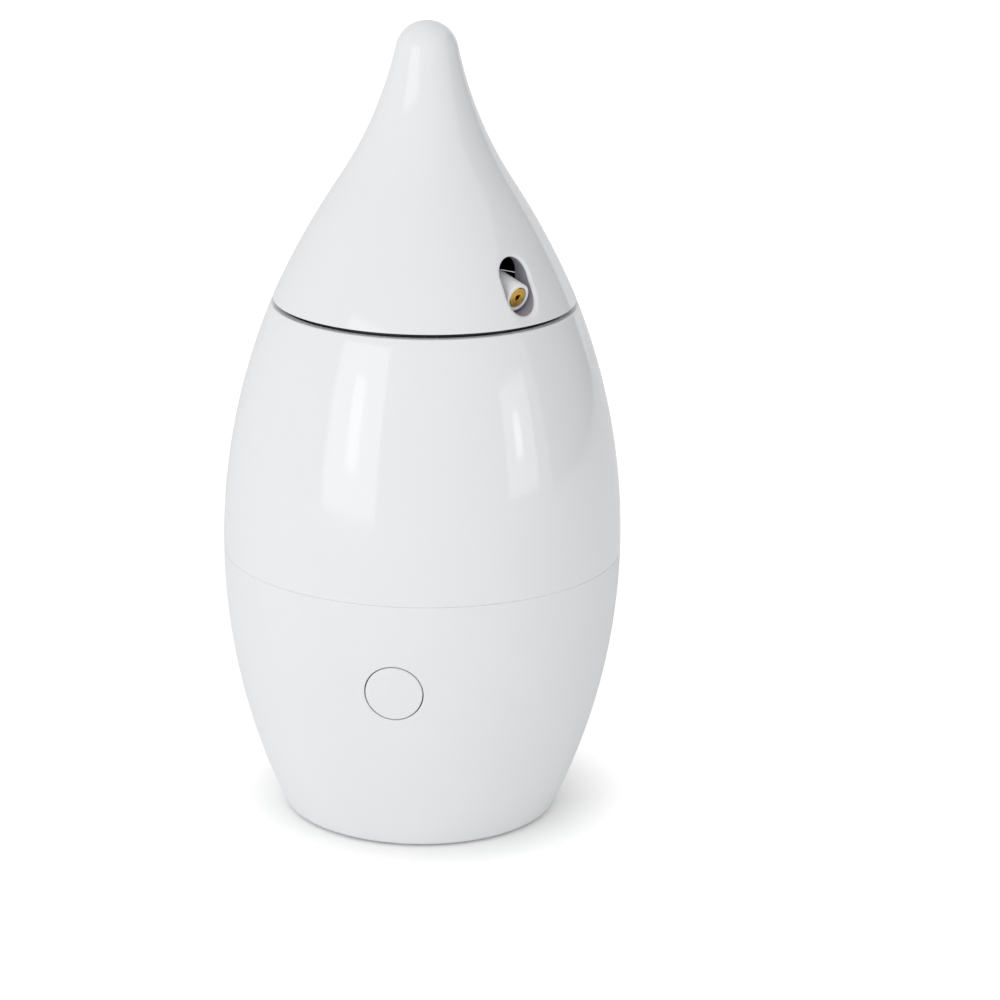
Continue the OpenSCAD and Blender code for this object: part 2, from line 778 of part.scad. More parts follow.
module plate_bush() {
    color("#e8e2cf") translate([0, 0, plate_low]) difference() {
        union() {
            cylinder(r = plate_bush_r, h = plate_t);
            translate([0, 0, -bush_flange_t]) cylinder(r = plate_bush_r + 1.5, h = bush_flange_t);
        }
        translate([0, 0, -bush_flange_t - through]) cylinder(d = spindle_d + 2*run, h = plate_t + bush_flange_t + 2*through);
    }
}

washer_z = deck_top + bush_flange_t;

module thrust_washer() {
    color(steel) translate([0, 0, washer_z]) ring(bush_r + 1.5, spindle_d/2 + run, washer_t);
}

module motor() {
    color(steel) translate([motor_at[0], motor_at[1], plate_low]) difference() {
        union() {
            translate([0, 0, -motor_l]) cylinder(d = motor_d, h = motor_l);
            cylinder(r = motor_boss_r, h = motor_boss_t);
            translate([0, 0, -motor_l - motor_boss_t]) cylinder(d = motor_d*0.4, h = motor_boss_t);
            // Terminals
            for (s = [-1, 1]) translate([s*terminal_r, 0, -motor_l]) cube([0.8, 3, 2*terminal_l], center = true);
        }
        translate([0, 0, -motor_l - 1]) cylinder(d = shaft_d + 2*run, h = motor_l + 5);
        for (s = [-1, 1]) translate([0, s*motor_screw_r, -4]) cylinder(d = small_screw_d + 2*seat, h = 5);
    }
}

module motor_screws() {
    color(steel) for (s = [-1, 1])
        translate([motor_at[0], motor_at[1] + s*motor_screw_r, gearbox_z - screw_head_h(small_screw_d)])
            mirror([0, 0, 1]) screw(small_screw_d, 4);
}

module motor_shaft() {
    color(steel) translate([motor_at[0], motor_at[1], plate_low - motor_l - 0.8])
        cylinder(d = shaft_d, h = motor_l + 0.8 + plate_t + 0.8 + wheel_t + 0.4);
}

// Phases that keep the train in mesh at rest
second_small_phase = mesh_phase(output_teeth, 0, pinion_teeth, second_dir);
first_small_phase = mesh_phase(wheel_teeth, 0, pinion_teeth, first_dir);
motor_phase = mesh_phase(wheel_teeth, 0, pinion_teeth, motor_dir);

module motor_pinion() {
    color(brass) translate([motor_at[0], motor_at[1], first_wheel_z]) difference() {
        gear(pinion_teeth, fast_module, wheel_t + 0.4, motor_phase);
        translate([0, 0, -through]) cylinder(d = shaft_d + 2*seat, h = wheel_t + 5);
    }
}

// A large wheel and the small pinion above it, moulded in one, with hubs that fill the gearbox's height
module compound_gear(at, wheel_z, pinion_module, pinion_z, pinion_top, phase) {
    low = gearbox_z + flat;
    top = deck_z - axle_boss_h - flat;
    translate([at[0], at[1], 0]) difference() {
        union() {
            translate([0, 0, wheel_z]) gear(wheel_teeth, fast_module, wheel_t, 0);
            translate([0, 0, pinion_z]) gear(pinion_teeth, pinion_module, pinion_top - pinion_z, phase);
            translate([0, 0, low]) cylinder(r = hub_r, h = top - low);
        }
        translate([0, 0, low - through]) cylinder(d = axle_d + 2*run, h = top - low + 2*through);
    }
}

module first_gear() {
    top = second_wheel_z + wheel_t + 0.4;
    color("#f2efe4")
        compound_gear(first_at, first_wheel_z, fast_module, first_wheel_z + wheel_t, top, first_small_phase);
}

module second_gear() {
    color("#f2efe4")
        compound_gear(second_at, second_wheel_z, slow_module, second_wheel_z + wheel_t, output_top + 0.4, second_small_phase);
}

output_hub_r = 7;
output_hub_h = 3;
pin_d = 1.5;
pin_z = output_z - output_hub_h/2;

module output_gear() {
    color("#f2efe4") difference() {
        union() {
            translate([0, 0, output_z]) gear(output_teeth, slow_module, output_t, 0);
            translate([0, 0, output_z - output_hub_h]) cylinder(r = output_hub_r, h = output_hub_h);
        }
        translate([0, 0, output_z - output_hub_h - through])
            cylinder(d = spindle_d + 2*seat, h = output_t + output_hub_h + 2*through);
        translate([0, 0, pin_z]) rotate([90, 0, 0])
            cylinder(d = pin_d + 2*seat, h = 2*output_hub_r + 2*through, center = true);
    }
}

module gear_pin() {
    color(steel) translate([0, 0, pin_z]) rotate([90, 0, 0]) cylinder(d = pin_d, h = 2*output_hub_r, center = true);
}

spindle_low = clip_z - 11.5;
flange_z = washer_z + washer_t + seat;
flange_r = 9.5;
flange_t = 2.45;
slip_z = [spindle_low + 2.5, spindle_low + 7];
slip_w = 2;
slip_t = 0.9;
spindle_screw_r = 7;

module at_spindle_screws() {
    for (a = [90, 210, 330]) rotate(a) translate([spindle_screw_r, 0, 0]) children();
}

module spindle() {
    color("#e9eaec") difference() {
        union() {
            translate([0, 0, spindle_low]) cylinder(d = spindle_d, h = flange_z - spindle_low);
            translate([0, 0, flange_z]) cylinder(r = flange_r, h = flange_t);
        }
        translate([0, 0, spindle_low - through]) cylinder(d = spindle_bore_d, h = body_d);
        translate([0, 0, pin_z]) rotate([90, 0, 0]) cylinder(d = pin_d + 2*seat, h = 3*spindle_d, center = true);
        translate([0, 0, clip_z - seat]) ring(spindle_d, spindle_d/2 - clip_groove, clip_t + 2*seat);
        turned() at_spindle_screws() translate([0, 0, flange_z + 0.4]) cylinder(d = small_screw_d + 2*seat, h = flange_t);
        // Windows where the wires come out to the rings
        for (i = [0, 1]) translate([0, 0, slip_z[i] + slip_w/2]) rotate([0, 180*i - 90, 0])
            cylinder(d = wire_d + 0.2, h = spindle_d);
    }
}

module spindle_clip() {
    color(steel) translate([0, 0, clip_z]) difference() {
        ring(spindle_d/2 + 2, spindle_d/2 - clip_groove + seat, clip_t);
        translate([0, -(spindle_d/2 - clip_groove)*0.8, -through]) cube([spindle_d, (spindle_d/2 - clip_groove)*1.6, clip_t + 2*through]);
    }
}

module slip_rings() {
    color(copper) for (z = slip_z) translate([0, 0, z]) ring(spindle_d/2 + slip_t, spindle_d/2 + seat, slip_w);
}

// ---- Brushes that feed the slip rings ----

brush_t = 0.3;
brush_line = spindle_d/2 + slip_t + 0.08;
holder_low = spindle_low + 0.5;

module brush_holder() {
    color(black) difference() {
        union() {
            translate([brush_x - 3.4, -7.5, plate_low - 2]) cube([4.4, 21, 2]);
            translate([brush_x - 1, 3, holder_low]) cube([2, 6, plate_low - holder_low - 1]);
        }
        for (p = brush_screw_at) translate([p[0], p[1], plate_low - 2 - through])
            cylinder(d = small_screw_d + 2*seat, h = 2 + 2*through);
        for (z = slip_z) translate([brush_x - 2, 5.8 - seat, z + 0.2 - seat]) cube([4, brush_t + 2*seat, 1.6 + 2*seat]);
    }
}

module brush_screws() {
    color(steel) for (p = brush_screw_at) translate([p[0], p[1], plate_low - 2]) screw(small_screw_d, 2 + plate_t);
}

// Each brush is a bent strip whose free end lies against its ring
module brushes() {
    color(brass) for (z = slip_z) translate([0, 0, z + 0.2]) linear_extrude(1.6) polygon([
        [brush_x - 2, 5.8], [-brush_line - brush_t, 5.8], [-brush_line - brush_t, -3], [-brush_line - 1.2, -4],
        [-brush_line - 1.2 + brush_t, -4.2], [-brush_line, -3.2], [-brush_line, 5.8 + brush_t], [brush_x - 2, 5.8 + brush_t]
    ]);
}

// ---- Wires ----

tail_y = -cell_pitch/2 - contact_t/2 - wire_d/2 - seat;
tail_top = bay_top + 4.7;
// The wires stand in the connectors on the back of the main board, and end at the motor and at the brushes
plug_y = [board_back + 1.6, board_back + 3.5];
plug_low = board_low + board_h - 5.8;
plug_high = board_low + board_h;
terminal_z = plate_low - motor_l - terminal_l - 0.4;

// Battery: from the contacts' tails over the case to the board's left connector
battery_route = [
    [-cell_pitch/2, tail_y, tail_top - 1.4], [-cell_pitch/2, tail_y - 0.7, tail_top + 1.5], [-9, -14, 68.5], [-10.4, -22, 69],
    [-9.8, -30, 69.2], [-9.4, plug_y[1], plug_high], [-9.4, plug_y[1], plug_low]
];
battery_route_2 = [
    [cell_pitch/2, tail_y, tail_top - 1.4], [cell_pitch/2, tail_y - 0.7, tail_top + 1.5], [3, -14, 68.5], [-4, -22, 70.5],
    [-6.2, -30, 70], [-6.6, plug_y[1], plug_high], [-6.6, plug_y[1], plug_low]
];
// Motor: from the board's right connector up to the terminals
motor_route = [
    [6.6, plug_y[0] + 1, plug_low], [6.6, plug_y[0] + 1, plug_high], [5, -22, 76], [3, -2, 80],
    [motor_at[0] - terminal_r, motor_at[1] - 2.5, terminal_z - 1.8], [motor_at[0] - terminal_r, motor_at[1], terminal_z]
];
motor_route_2 = [
    [9.2, plug_y[0] + 1, plug_low], [9.2, plug_y[0] + 1, plug_high], [14, -22, 76], [18, -2, 80],
    [motor_at[0] + terminal_r, motor_at[1] - 2.5, terminal_z - 1.8], [motor_at[0] + terminal_r, motor_at[1], terminal_z]
];
// Brushes: from the board's left connector up to the brushes' tails
brush_end = [brush_x - 2.1 - wire_d/2, 5.95];
brush_route = [
    [-9.4, plug_y[0], plug_low], [-9.4, plug_y[0], plug_high], [-12, -34, 70], [-19, -28, 76], [-22, -8, 84],
    [-20, 2, 93], [brush_end[0], brush_end[1], slip_z[0] + slip_w/2]
];
brush_route_2 = [
    [-6.6, plug_y[0], plug_low], [-6.6, plug_y[0], plug_high], [-8, -33.5, 71], [-14, -25, 79], [-18, -8, 87],
    [-23, 4, 97], [brush_end[0], brush_end[1], slip_z[1] + slip_w/2]
];

module wire(route, side) {
    tube(smooth(route, 4), wire_d/2, side);
}

module battery_leads() {
    color("#b3342c") wire(battery_route, [1, 0, 0]);
    color(black) wire(battery_route_2, [1, 0, 0.2]);
}

module motor_leads() {
    color("#b3342c") wire(motor_route, [1, 0, 0]);
    color(black) wire(motor_route_2, [1, 0, 0]);
}

module brush_leads() {
    color("#b3342c") wire(brush_route, [1, 0, 0]);
    color(black) wire(brush_route_2, [1, 0, 0]);
}

// ---- Head; its first laser looks along -Y before the head is turned to its heading ----

module turned() {
    rotate(head_heading) children();
}

// The frame of one laser: +Z runs forward along its tube, +Y up, the pivot at the origin
module at_laser(back) {
    turned() rotate(back) translate([0, -pivot_y, pivot_z]) rotate([90 + rest_tilt, 0, 0]) children();
}

base_low = flange_z + flange_t;
base_t = 2;
base_top = base_low + base_t;
base_r = body_r(rim_z) - body_wall - 1;
skirt_t = 2;
skirt_h = 2.2;
inner_rim_r = head_rim_r - head_wall/cos(rim_lean);
collar_wall = 1.2;
collar_half = slot_w/2 + collar_wall;
head_boss_r = 32;
head_boss_top = 150;
head_boss_angles = [22, 158, 202, 338];

module at_head_bosses() {
    for (a = head_boss_angles) rotate(a) translate([head_boss_r, 0, 0]) children();
}

// A prism with the slot's outline, grown by grow, from y_in out to y_out in front
module slot_prism(grow, y_in, y_out) {
    translate([0, -y_in, slot_z - grow]) rotate([90, 0, 0])
        linear_extrude(y_out - y_in) upright_slot(slot_w + 2*grow, slot_h + 2*grow);
}

module head_shell() {
    color(white) turned() difference() {
        union() {
            rotate_extrude() difference() {
                head_band(0, head_z);
                head_band(head_wall, head_z - through);
            }
            intersection() {
                union() {
                    for (a = [0, 180]) rotate(a) slot_prism(collar_wall, collar_in, 2*head_rim_r);
                    at_head_bosses() translate([0, 0, base_top]) cylinder(r = 3, h = head_boss_top - base_top);
                }
                rotate_extrude() head_band(head_wall/2, base_top);
            }
        }
        for (a = [0, 180]) rotate(a) slot_prism(0, collar_in - through, 2*head_rim_r);
        at_head_bosses() translate([0, 0, base_top - through]) cylinder(d = small_screw_d + 2*seat, h = 6 + through);
    }
}

module head_base() {
    color(black) turned() difference() {
        union() {
            translate([0, 0, base_low]) cylinder(r = base_r, h = base_t);
            translate([0, 0, base_low - skirt_h]) ring(base_r, base_r - skirt_t, skirt_h);
        }
        translate([0, 0, base_low - through]) cylinder(d = spindle_bore_d, h = base_t + 2*through);
        translate([0, 0, base_low - through]) {
            at_head_bosses() cylinder(d = small_screw_d + 2*seat, h = base_t + 2*through);
            at_spindle_screws() cylinder(d = small_screw_d + 2*seat, h = base_t + 2*through);
            at_frame_screws() cylinder(d = small_screw_d + 2*seat, h = base_t + 2*through);
        }
    }
}

module spindle_screws() {
    color(steel) turned() at_spindle_screws() translate([0, 0, base_top]) mirror([0, 0, 1]) screw(small_screw_d, base_t + 1.8);
}

module head_screws() {
    color(steel) turned() at_head_bosses() translate([0, 0, base_low]) screw(small_screw_d, base_t + 5);
}

// The frame that carries both lasers between pairs of ears
frame_foot_t = 2;
frame_w = 22;
frame_l = 40;
ear_gap = tube_d/2 + 0.5;
frame_ear_t = 2;
frame_ear_w = 7;
frame_top = base_top + frame_foot_t;
board_peg_x = 7.5;
board_peg_y = 2.5;
board_peg_h = 2;
head_board_t = 1.2;

module at_frame_screws() {
    for (x = [-1, 1], y = [-1, 1]) translate([x*(frame_w/2 - 2.6), y*(frame_l/2 - 2.8), 0]) children();
}

module laser_frame() {
    color(black) turned() difference() {
        union() {
            translate([-frame_w/2, -frame_l/2, base_top]) cube([frame_w, frame_l, frame_foot_t]);
            for (x = [-1, 1], y = [-1, 1]) translate([x*(ear_gap + frame_ear_t/2), y*pivot_y, 0]) {
                translate([0, 0, (frame_top + pivot_z)/2]) cube([frame_ear_t, frame_ear_w, pivot_z - frame_top], center = true);
                translate([0, 0, pivot_z]) rotate([0, 90, 0]) cylinder(d = frame_ear_w, h = frame_ear_t, center = true);
            }
            for (x = [-1, 1]) translate([x*board_peg_x, board_peg_y, frame_top]) {
                cylinder(r = 1.8, h = board_peg_h);
                cylinder(r = 0.8, h = board_peg_h + head_board_t + 0.6);
            }
        }
        for (y = [-1, 1]) translate([0, y*pivot_y, pivot_z]) rotate([0, 90, 0])
            cylinder(d = pivot_d + 2*run, h = frame_w, center = true);
        at_frame_screws() translate([0, 0, base_top - through]) cylinder(d = small_screw_d + 2*seat, h = 5);
        at_spindle_screws() translate([0, 0, base_top - through])
            cylinder(r = screw_head_r(small_screw_d) + pass, h = frame_foot_t + 2*through);
        translate([0, 0, base_top - through]) cylinder(d = spindle_bore_d, h = frame_foot_t + 2*through);
    }
}

module frame_screws() {
    color(steel) turned() at_frame_screws() translate([0, 0, frame_top]) mirror([0, 0, 1])
        screw(small_screw_d, frame_foot_t + base_t - flat);
}

head_board_z = frame_top + board_peg_h;

module head_board() {
    color(board_green) turned() {
        difference() {
            translate([-9.5, -6, head_board_z]) cube([19, 12, head_board_t]);
            for (x = [-1, 1]) translate([x*board_peg_x, board_peg_y, head_board_z - through]) cylinder(r = 0.8 + seat, h = 5);
        }
        for (y = [-3.6, 2.4]) translate([-3.2, y, head_board_z + head_board_t]) cube([2, 1.2, 0.6]);
        translate([1.4, -2, head_board_z + head_board_t]) cube([3.2, 4, 1.4]);
    }
}

// Two wires from the slip rings up through the spindle to the head's board
head_wire_x = 1.55;

module head_leads() {
    for (i = [0, 1]) color(i == 0 ? "#b3342c" : black) {
        s = 2*i - 1;
        z = slip_z[i] + slip_w/2;
        tube([
            [s*(spindle_d/2 - seat), 0, z], [s*(spindle_bore_d/2 - 0.3), 0, z],
            [s*head_wire_x, 0, z + 1.8], [s*head_wire_x, 0, head_board_z - seat]
        ], wire_d/2, [0, 1, 0]);
    }
}

// ---- Lasers ----

tube_r = tube_d/2;
bore_r = module_d/2 + seat;
lip_t = 1;
lip_r = nose_d/2 + 0.15;
module_front = tube_front - lip_t - seat;

module laser_tube(back) {
    color(white) at_laser(back) difference() {
        union() {
            translate([0, 0, -tube_back]) cylinder(r = tube_r, h = tube_back + tube_front - 0.5);
            rotate_extrude() {
                translate([0, tube_front - 0.5]) square([tube_r - 0.5, 0.5]);
                translate([tube_r - 0.5, tube_front - 0.5]) circle(0.5);
            }
            rotate([0, 90, 0]) cylinder(d = pivot_d, h = 2*(ear_gap + frame_ear_t), center = true);
            rotate([0, 90, 0]) cylinder(d = pivot_d + 2, h = 2*(ear_gap - 0.2), center = true);
        }
        translate([0, 0, -tube_back - through]) cylinder(r = bore_r, h = tube_back + tube_front - lip_t + through);
        cylinder(r = lip_r, h = tube_front + through);
    }
}

module laser_module(back) {
    hole_r = beam_hole_d/2;
    color(brass) at_laser(back) translate([0, 0, module_front]) difference() {
        union() {
            translate([0, 0, -module_l]) cylinder(d = module_d, h = module_l);
            cylinder(d = nose_d, h = lip_t - 0.35);
            translate([0, 0, lip_t - 0.35]) cylinder(d1 = nose_d, d2 = nose_d - 0.3, h = 0.15);
        }
        translate([0, 0, -through]) cylinder(r = hole_r, h = lip_t + 2*through);
        translate([0, 0, -module_l - through]) cylinder(d = module_d - 2, h = module_l + through - 0.4);
    }
}

lens_t = 1.2;

module laser_lens(back) {
    color("#7d1f22") at_laser(back) translate([0, 0, module_front - 0.4 - lens_t]) intersection() {
        cylinder(d = module_d - 2 - 2*seat, h = lens_t);
        translate([0, 0, lens_t - 5]) sphere(r = 5);
    }
}

// The driver board in the tube's back end, with the laser diode's can in front of it
module laser_driver(back) {
    plate_z = module_front - module_l - flat - 1;
    at_laser(back) translate([0, 0, plate_z]) {
        color(board_green) cylinder(r = bore_r - 2*seat, h = 1);
        color(steel) translate([0, 0, 1]) cylinder(d = module_d - 2 - 2*seat, h = 6);
        color(black) translate([-1.2, -1, -1]) cube([2.4, 2, 1]);
    }
}

lower_shell();
upper_shell();
rubber_feet();
shell_screws();
battery_case();
case_screws();
battery_cells();
case_contacts();
case_springs();
battery_door();
door_screws();
door_contacts();
door_springs();
main_board();
board_parts();
board_screws();
switch_body();
switch_plunger();
power_button();
gearbox_plate();
gearbox_screws();
gear_axles();
deck_bush();
plate_bush();
thrust_washer();
motor();
motor_screws();
motor_shaft();
motor_pinion();
first_gear();
second_gear();
output_gear();
gear_pin();
spindle();
spindle_clip();
slip_rings();
brush_holder();
brush_screws();
brushes();
battery_leads();
motor_leads();
brush_leads();
head_shell();
head_base();
spindle_screws();
head_screws();
laser_frame();
frame_screws();
head_board();
head_leads();
laser_tube(0);  // front_tube
laser_module(0);  // front_module
laser_lens(0);  // front_lens
laser_driver(0);  // front_driver
laser_tube(180);  // rear_tube
laser_module(180);  // rear_module
laser_lens(180);  // rear_lens
laser_driver(180);  // rear_driver
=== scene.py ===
import json
import math

import bpy
from mathutils import Matrix, Vector

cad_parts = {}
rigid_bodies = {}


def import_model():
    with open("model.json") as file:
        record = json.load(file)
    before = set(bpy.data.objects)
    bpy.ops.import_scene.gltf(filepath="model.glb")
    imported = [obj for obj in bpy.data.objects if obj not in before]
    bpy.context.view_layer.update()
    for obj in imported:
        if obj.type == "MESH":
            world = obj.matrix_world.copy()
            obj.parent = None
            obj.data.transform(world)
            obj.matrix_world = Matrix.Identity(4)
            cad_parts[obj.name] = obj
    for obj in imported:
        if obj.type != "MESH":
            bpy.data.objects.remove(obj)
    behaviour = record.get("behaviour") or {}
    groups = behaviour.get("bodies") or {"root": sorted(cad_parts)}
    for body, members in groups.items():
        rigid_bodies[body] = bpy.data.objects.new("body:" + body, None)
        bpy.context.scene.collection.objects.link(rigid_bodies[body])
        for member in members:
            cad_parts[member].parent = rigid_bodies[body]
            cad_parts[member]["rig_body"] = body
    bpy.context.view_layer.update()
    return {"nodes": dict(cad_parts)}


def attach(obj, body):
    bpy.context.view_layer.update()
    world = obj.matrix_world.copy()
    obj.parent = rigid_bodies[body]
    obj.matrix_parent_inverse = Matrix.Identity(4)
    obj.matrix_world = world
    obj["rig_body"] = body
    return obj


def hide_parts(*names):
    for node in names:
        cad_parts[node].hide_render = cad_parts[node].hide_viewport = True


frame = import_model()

MM = 0.001

BODY_R = 52.5
BELLY_Z = 73.4
LOWER_CURVE = 172.2
UPPER_CURVE = 170.0
WALL = 2.2
BASE_Z = 0.6
FLOOR_Z = 3.0
SEAM_Z = 71.9
FOOT_EDGE = 1.4
AROUND = 256
POST_R = 29.0
POSTS = (30, 150, 270)
FEET = (60, 180, 300)
BUTTON_Z = 47.9
HOLE_D, HOLE_LIP = 15.2, 0.22
WELL_R = 3.055
FOOT_HOLE_R, FOOT_HOLE_TOP = 5.1, 1.6
DOOR_SCREW_Y, CASE_SCREW_X = 23, 24.5
BAY_HALF, BAY_CORNER = 18.05, 6.25
EAR_R, EAR_Y = 3.45, 19.5
# Bars that are joined on start inside the floor, and tools that cut start below the base
ROOT, BELOW = 2.0, -1.0


def body_radius(z, inset=0.0):
    """Radius of the body's side at height z, on the curve drawn inwards by inset."""
    curve = LOWER_CURVE if z < BELLY_Z else UPPER_CURVE
    return BODY_R - curve + math.sqrt((curve - inset) ** 2 - (z - BELLY_Z) ** 2)


def spaced(start, end, most):
    """Numbers from start to end, no more than most apart."""
    count = max(1, math.ceil(abs(end - start) / most))
    return [start + (end - start) * i / count for i in range(count + 1)]


def side(low, high, inset, most=2.4):
    """Points up or down the body's side between two heights."""
    return [(body_radius(z, inset), z) for z in spaced(low, high, most)]


def bow(r, z, radius, start, end, most=12.0):
    """Points along an arc about the centre (r, z), from angle start to angle end."""
    return [(r + radius * math.cos(math.radians(a)), z + radius * math.sin(math.radians(a)))
            for a in spaced(start, end, most)]


def only(piece):
    """Makes a piece the only one selected."""
    if bpy.context.mode != "OBJECT":
        bpy.ops.object.mode_set(mode="OBJECT")
    bpy.ops.object.select_all(action="DESELECT")
    bpy.context.view_layer.objects.active = piece
    piece.select_set(True)


def edit(piece):
    """Opens a piece in edit mode with all of it selected."""
    only(piece)
    bpy.ops.object.mode_set(mode="EDIT")
    bpy.ops.mesh.select_mode(type="VERT")
    bpy.ops.mesh.select_all(action="SELECT")


def pick(piece, test):
    """Selects the vertices of a piece in edit mode for which test(place in mm) holds."""
    bpy.ops.object.mode_set(mode="OBJECT")
    for v in piece.data.vertices:
        v.select = bool(test(v.co / MM))
    for e in piece.data.edges:
        e.select = all(piece.data.vertices[i].select for i in e.vertices)
    for f in piece.data.polygons:
        f.select = all(piece.data.vertices[i].select for i in f.vertices)
    bpy.ops.object.mode_set(mode="EDIT")


def smooth(piece, sharp_from=17):
    """Smooths all but the hard edges."""
    only(piece)
    bpy.ops.object.shade_smooth_by_angle(angle=math.radians(sharp_from))


def settle(piece, turn=None):
    """Moves a piece by a matrix and writes its place into its mesh."""
    only(piece)
    bpy.context.view_layer.update()
    if turn is not None:
        piece.matrix_world = turn @ piece.matrix_world
    bpy.ops.object.transform_apply(location=True, rotation=True, scale=True)


def turned(name, outline, closed=False, around=AROUND):
    """A piece turned on a lathe: an outline, in mm from the axis and up it, spun about Z."""
    bpy.ops.object.select_all(action="DESELECT")
    bpy.ops.mesh.primitive_plane_add(size=MM, location=(0, 0, 0))
    piece = bpy.context.object
    piece.name = piece.data.name = name
    edit(piece)
    bpy.ops.mesh.merge(type="CENTER")
    at = Vector((0, 0, 0))
    for i, (r, z) in enumerate(outline + outline[:1] if closed else outline):
        step = Vector((r, 0, z)) * MM - at
        at += step
        if i == 0:
            bpy.ops.transform.translate(value=step)
        else:
            bpy.ops.mesh.extrude_region_move(TRANSFORM_OT_translate={"value": step})
    bpy.ops.mesh.select_all(action="SELECT")
    bpy.ops.mesh.spin(steps=around, angle=math.tau, center=(0, 0, 0), axis=(0, 0, 1))
    bpy.ops.mesh.select_all(action="SELECT")
    bpy.ops.mesh.remove_doubles(threshold=0.004 * MM)
    bpy.ops.mesh.normals_make_consistent(inside=False)
    bpy.ops.object.mode_set(mode="OBJECT")
    return piece


def modify(piece, kind, **settings):
    """Adds a modifier to a piece and applies it."""
    only(piece)
    modifier = piece.modifiers.new("step", kind)
    for key, value in settings.items():
        setattr(modifier, key, value)
    bpy.ops.object.modifier_apply(modifier=modifier.name)


def cut(piece, tool, operation="DIFFERENCE"):
    """Cuts a tool out of a piece, joins it on, or keeps what both share, and throws the tool away."""
    modify(piece, "BOOLEAN", operation=operation, object=tool, solver="EXACT", material_mode="TRANSFER")
    bpy.data.objects.remove(tool)


def rod(radius, low, high, place=(0, 0), around=48, turn=None):
    """A round bar along Z from low to high."""
    bpy.ops.object.select_all(action="DESELECT")
    bpy.ops.mesh.primitive_cylinder_add(
        vertices=around, radius=radius * MM, depth=(high - low) * MM,
        location=(place[0] * MM, place[1] * MM, (low + high) / 2 * MM))
    bar = bpy.context.object
    settle(bar, turn)
    return bar


def rounded_block(half_x, half_y, low, high, radius):
    """A block about the Z axis with its upright edges rounded."""
    bpy.ops.object.select_all(action="DESELECT")
    bpy.ops.mesh.primitive_cube_add(size=2 * MM, location=(0, 0, (low + high) / 2 * MM))
    block = bpy.context.object
    block.scale = (half_x, half_y, (high - low) / 2)
    settle(block)
    edit(block)
    bpy.ops.mesh.select_all(action="DESELECT")
    bpy.ops.object.mode_set(mode="OBJECT")
    for e in block.data.edges:
        a, b = (block.data.vertices[i].co for i in e.vertices)
        e.select = abs(a.z - b.z) > 0.1 * MM
    bpy.ops.object.mode_set(mode="EDIT")
    bpy.ops.mesh.select_mode(type="EDGE")
    bpy.ops.mesh.bevel(offset=radius * MM, segments=12, affect="EDGES")
    bpy.ops.mesh.select_mode(type="VERT")
    bpy.ops.object.mode_set(mode="OBJECT")
    return block


def fitted_end(guide, width, height, low, y_in, rings, beyond=None, turn=None):
    """A bar with a round or round-ended outline that runs out along -Y and ends on a surface. Each ring of
    its end is (how far it is grown, how deep it lies under the surface); beyond takes the end on past it."""
    half = width / 2
    bottom, top = low + half, low + height - half
    middle = (bottom + top) / 2
    bpy.ops.object.select_all(action="DESELECT")
    bpy.ops.mesh.primitive_circle_add(
        vertices=96, radius=half * MM, location=(0, -y_in * MM, bottom * MM),
        rotation=(math.pi / 2, math.pi / 96, 0))
    bar = bpy.context.object
    settle(bar)
    edit(bar)
    pick(bar, lambda p: p.z > bottom)
    bpy.ops.transform.translate(value=(0, 0, (top - bottom) * MM))
    bpy.ops.mesh.select_all(action="SELECT")
    bpy.ops.mesh.edge_face_add()
    grown = 0.0
    for number, (out, depth) in enumerate(rings):
        bpy.ops.mesh.extrude_region_move(TRANSFORM_OT_translate={"value": (0, -0.1 * MM, 0)})
        level = -y_in - 0.1 * (number + 1)
        size = (half + out) / (half + grown)
        for centre, upper in ((bottom, False), (top, True)):
            pick(bar, lambda p: abs(p.y - level) < 0.03 and (p.z > middle) == upper)
            bpy.ops.transform.resize(value=(size, 1, size), center_override=(0, level * MM, centre * MM))
        grown = out
        pick(bar, lambda p: abs(p.y - level) < 0.03)
        bpy.ops.object.vertex_group_assign_new()
    if beyond is not None:
        bpy.ops.mesh.extrude_region_move(
            TRANSFORM_OT_translate={"value": (0, -(beyond - y_in - 0.1 * len(rings)) * MM, 0)})
    bpy.ops.object.mode_set(mode="OBJECT")
    rim = [group.name for group in bar.vertex_groups]
    for name in rim:
        modify(bar, "SHRINKWRAP", target=guide, wrap_method="PROJECT", use_project_y=True,
               use_negative_direction=True, use_positive_direction=False, vertex_group=name)
    edit(bar)
    # Each group also holds the rings after its own, so that a ring moves by its step from the one before
    for name, (_, depth), (_, last) in zip(rim, rings, [(0, 0)] + rings):
        bpy.ops.mesh.select_all(action="DESELECT")
        bar.vertex_groups.active_index = bar.vertex_groups[name].index
        bpy.ops.object.vertex_group_select()
        bpy.ops.transform.translate(value=(0, (depth - last) * MM, 0))
    bpy.ops.mesh.select_all(action="SELECT")
    bpy.ops.mesh.normals_make_consistent(inside=False)
    bpy.ops.object.mode_set(mode="OBJECT")
    bar.vertex_groups.clear()
    settle(bar, turn)
    return bar


def lip(rounding):
    """Rings that round the edge of a hole over to the surface that it breaks through."""
    rings = [(rounding * (1 - math.cos(math.radians(a))), rounding * (1 - math.sin(math.radians(a))))
             for a in (0, 12, 24, 36, 48, 60, 72)]
    return rings + [(rings[-1][0] + 0.6, rings[-1][1] - 0.195)]


def about_z(degrees):
    return Matrix.Rotation(math.radians(degrees), 4, "Z")


def linear(code):
    """An sRGB colour such as #EFF0F1 as the linear numbers that a shader takes."""
    parts = [int(code[i:i + 2], 16) / 255 for i in (1, 3, 5)]
    return [p / 12.92 if p <= 0.04045 else ((p + 0.055) / 1.055) ** 2.4 for p in parts] + [1.0]


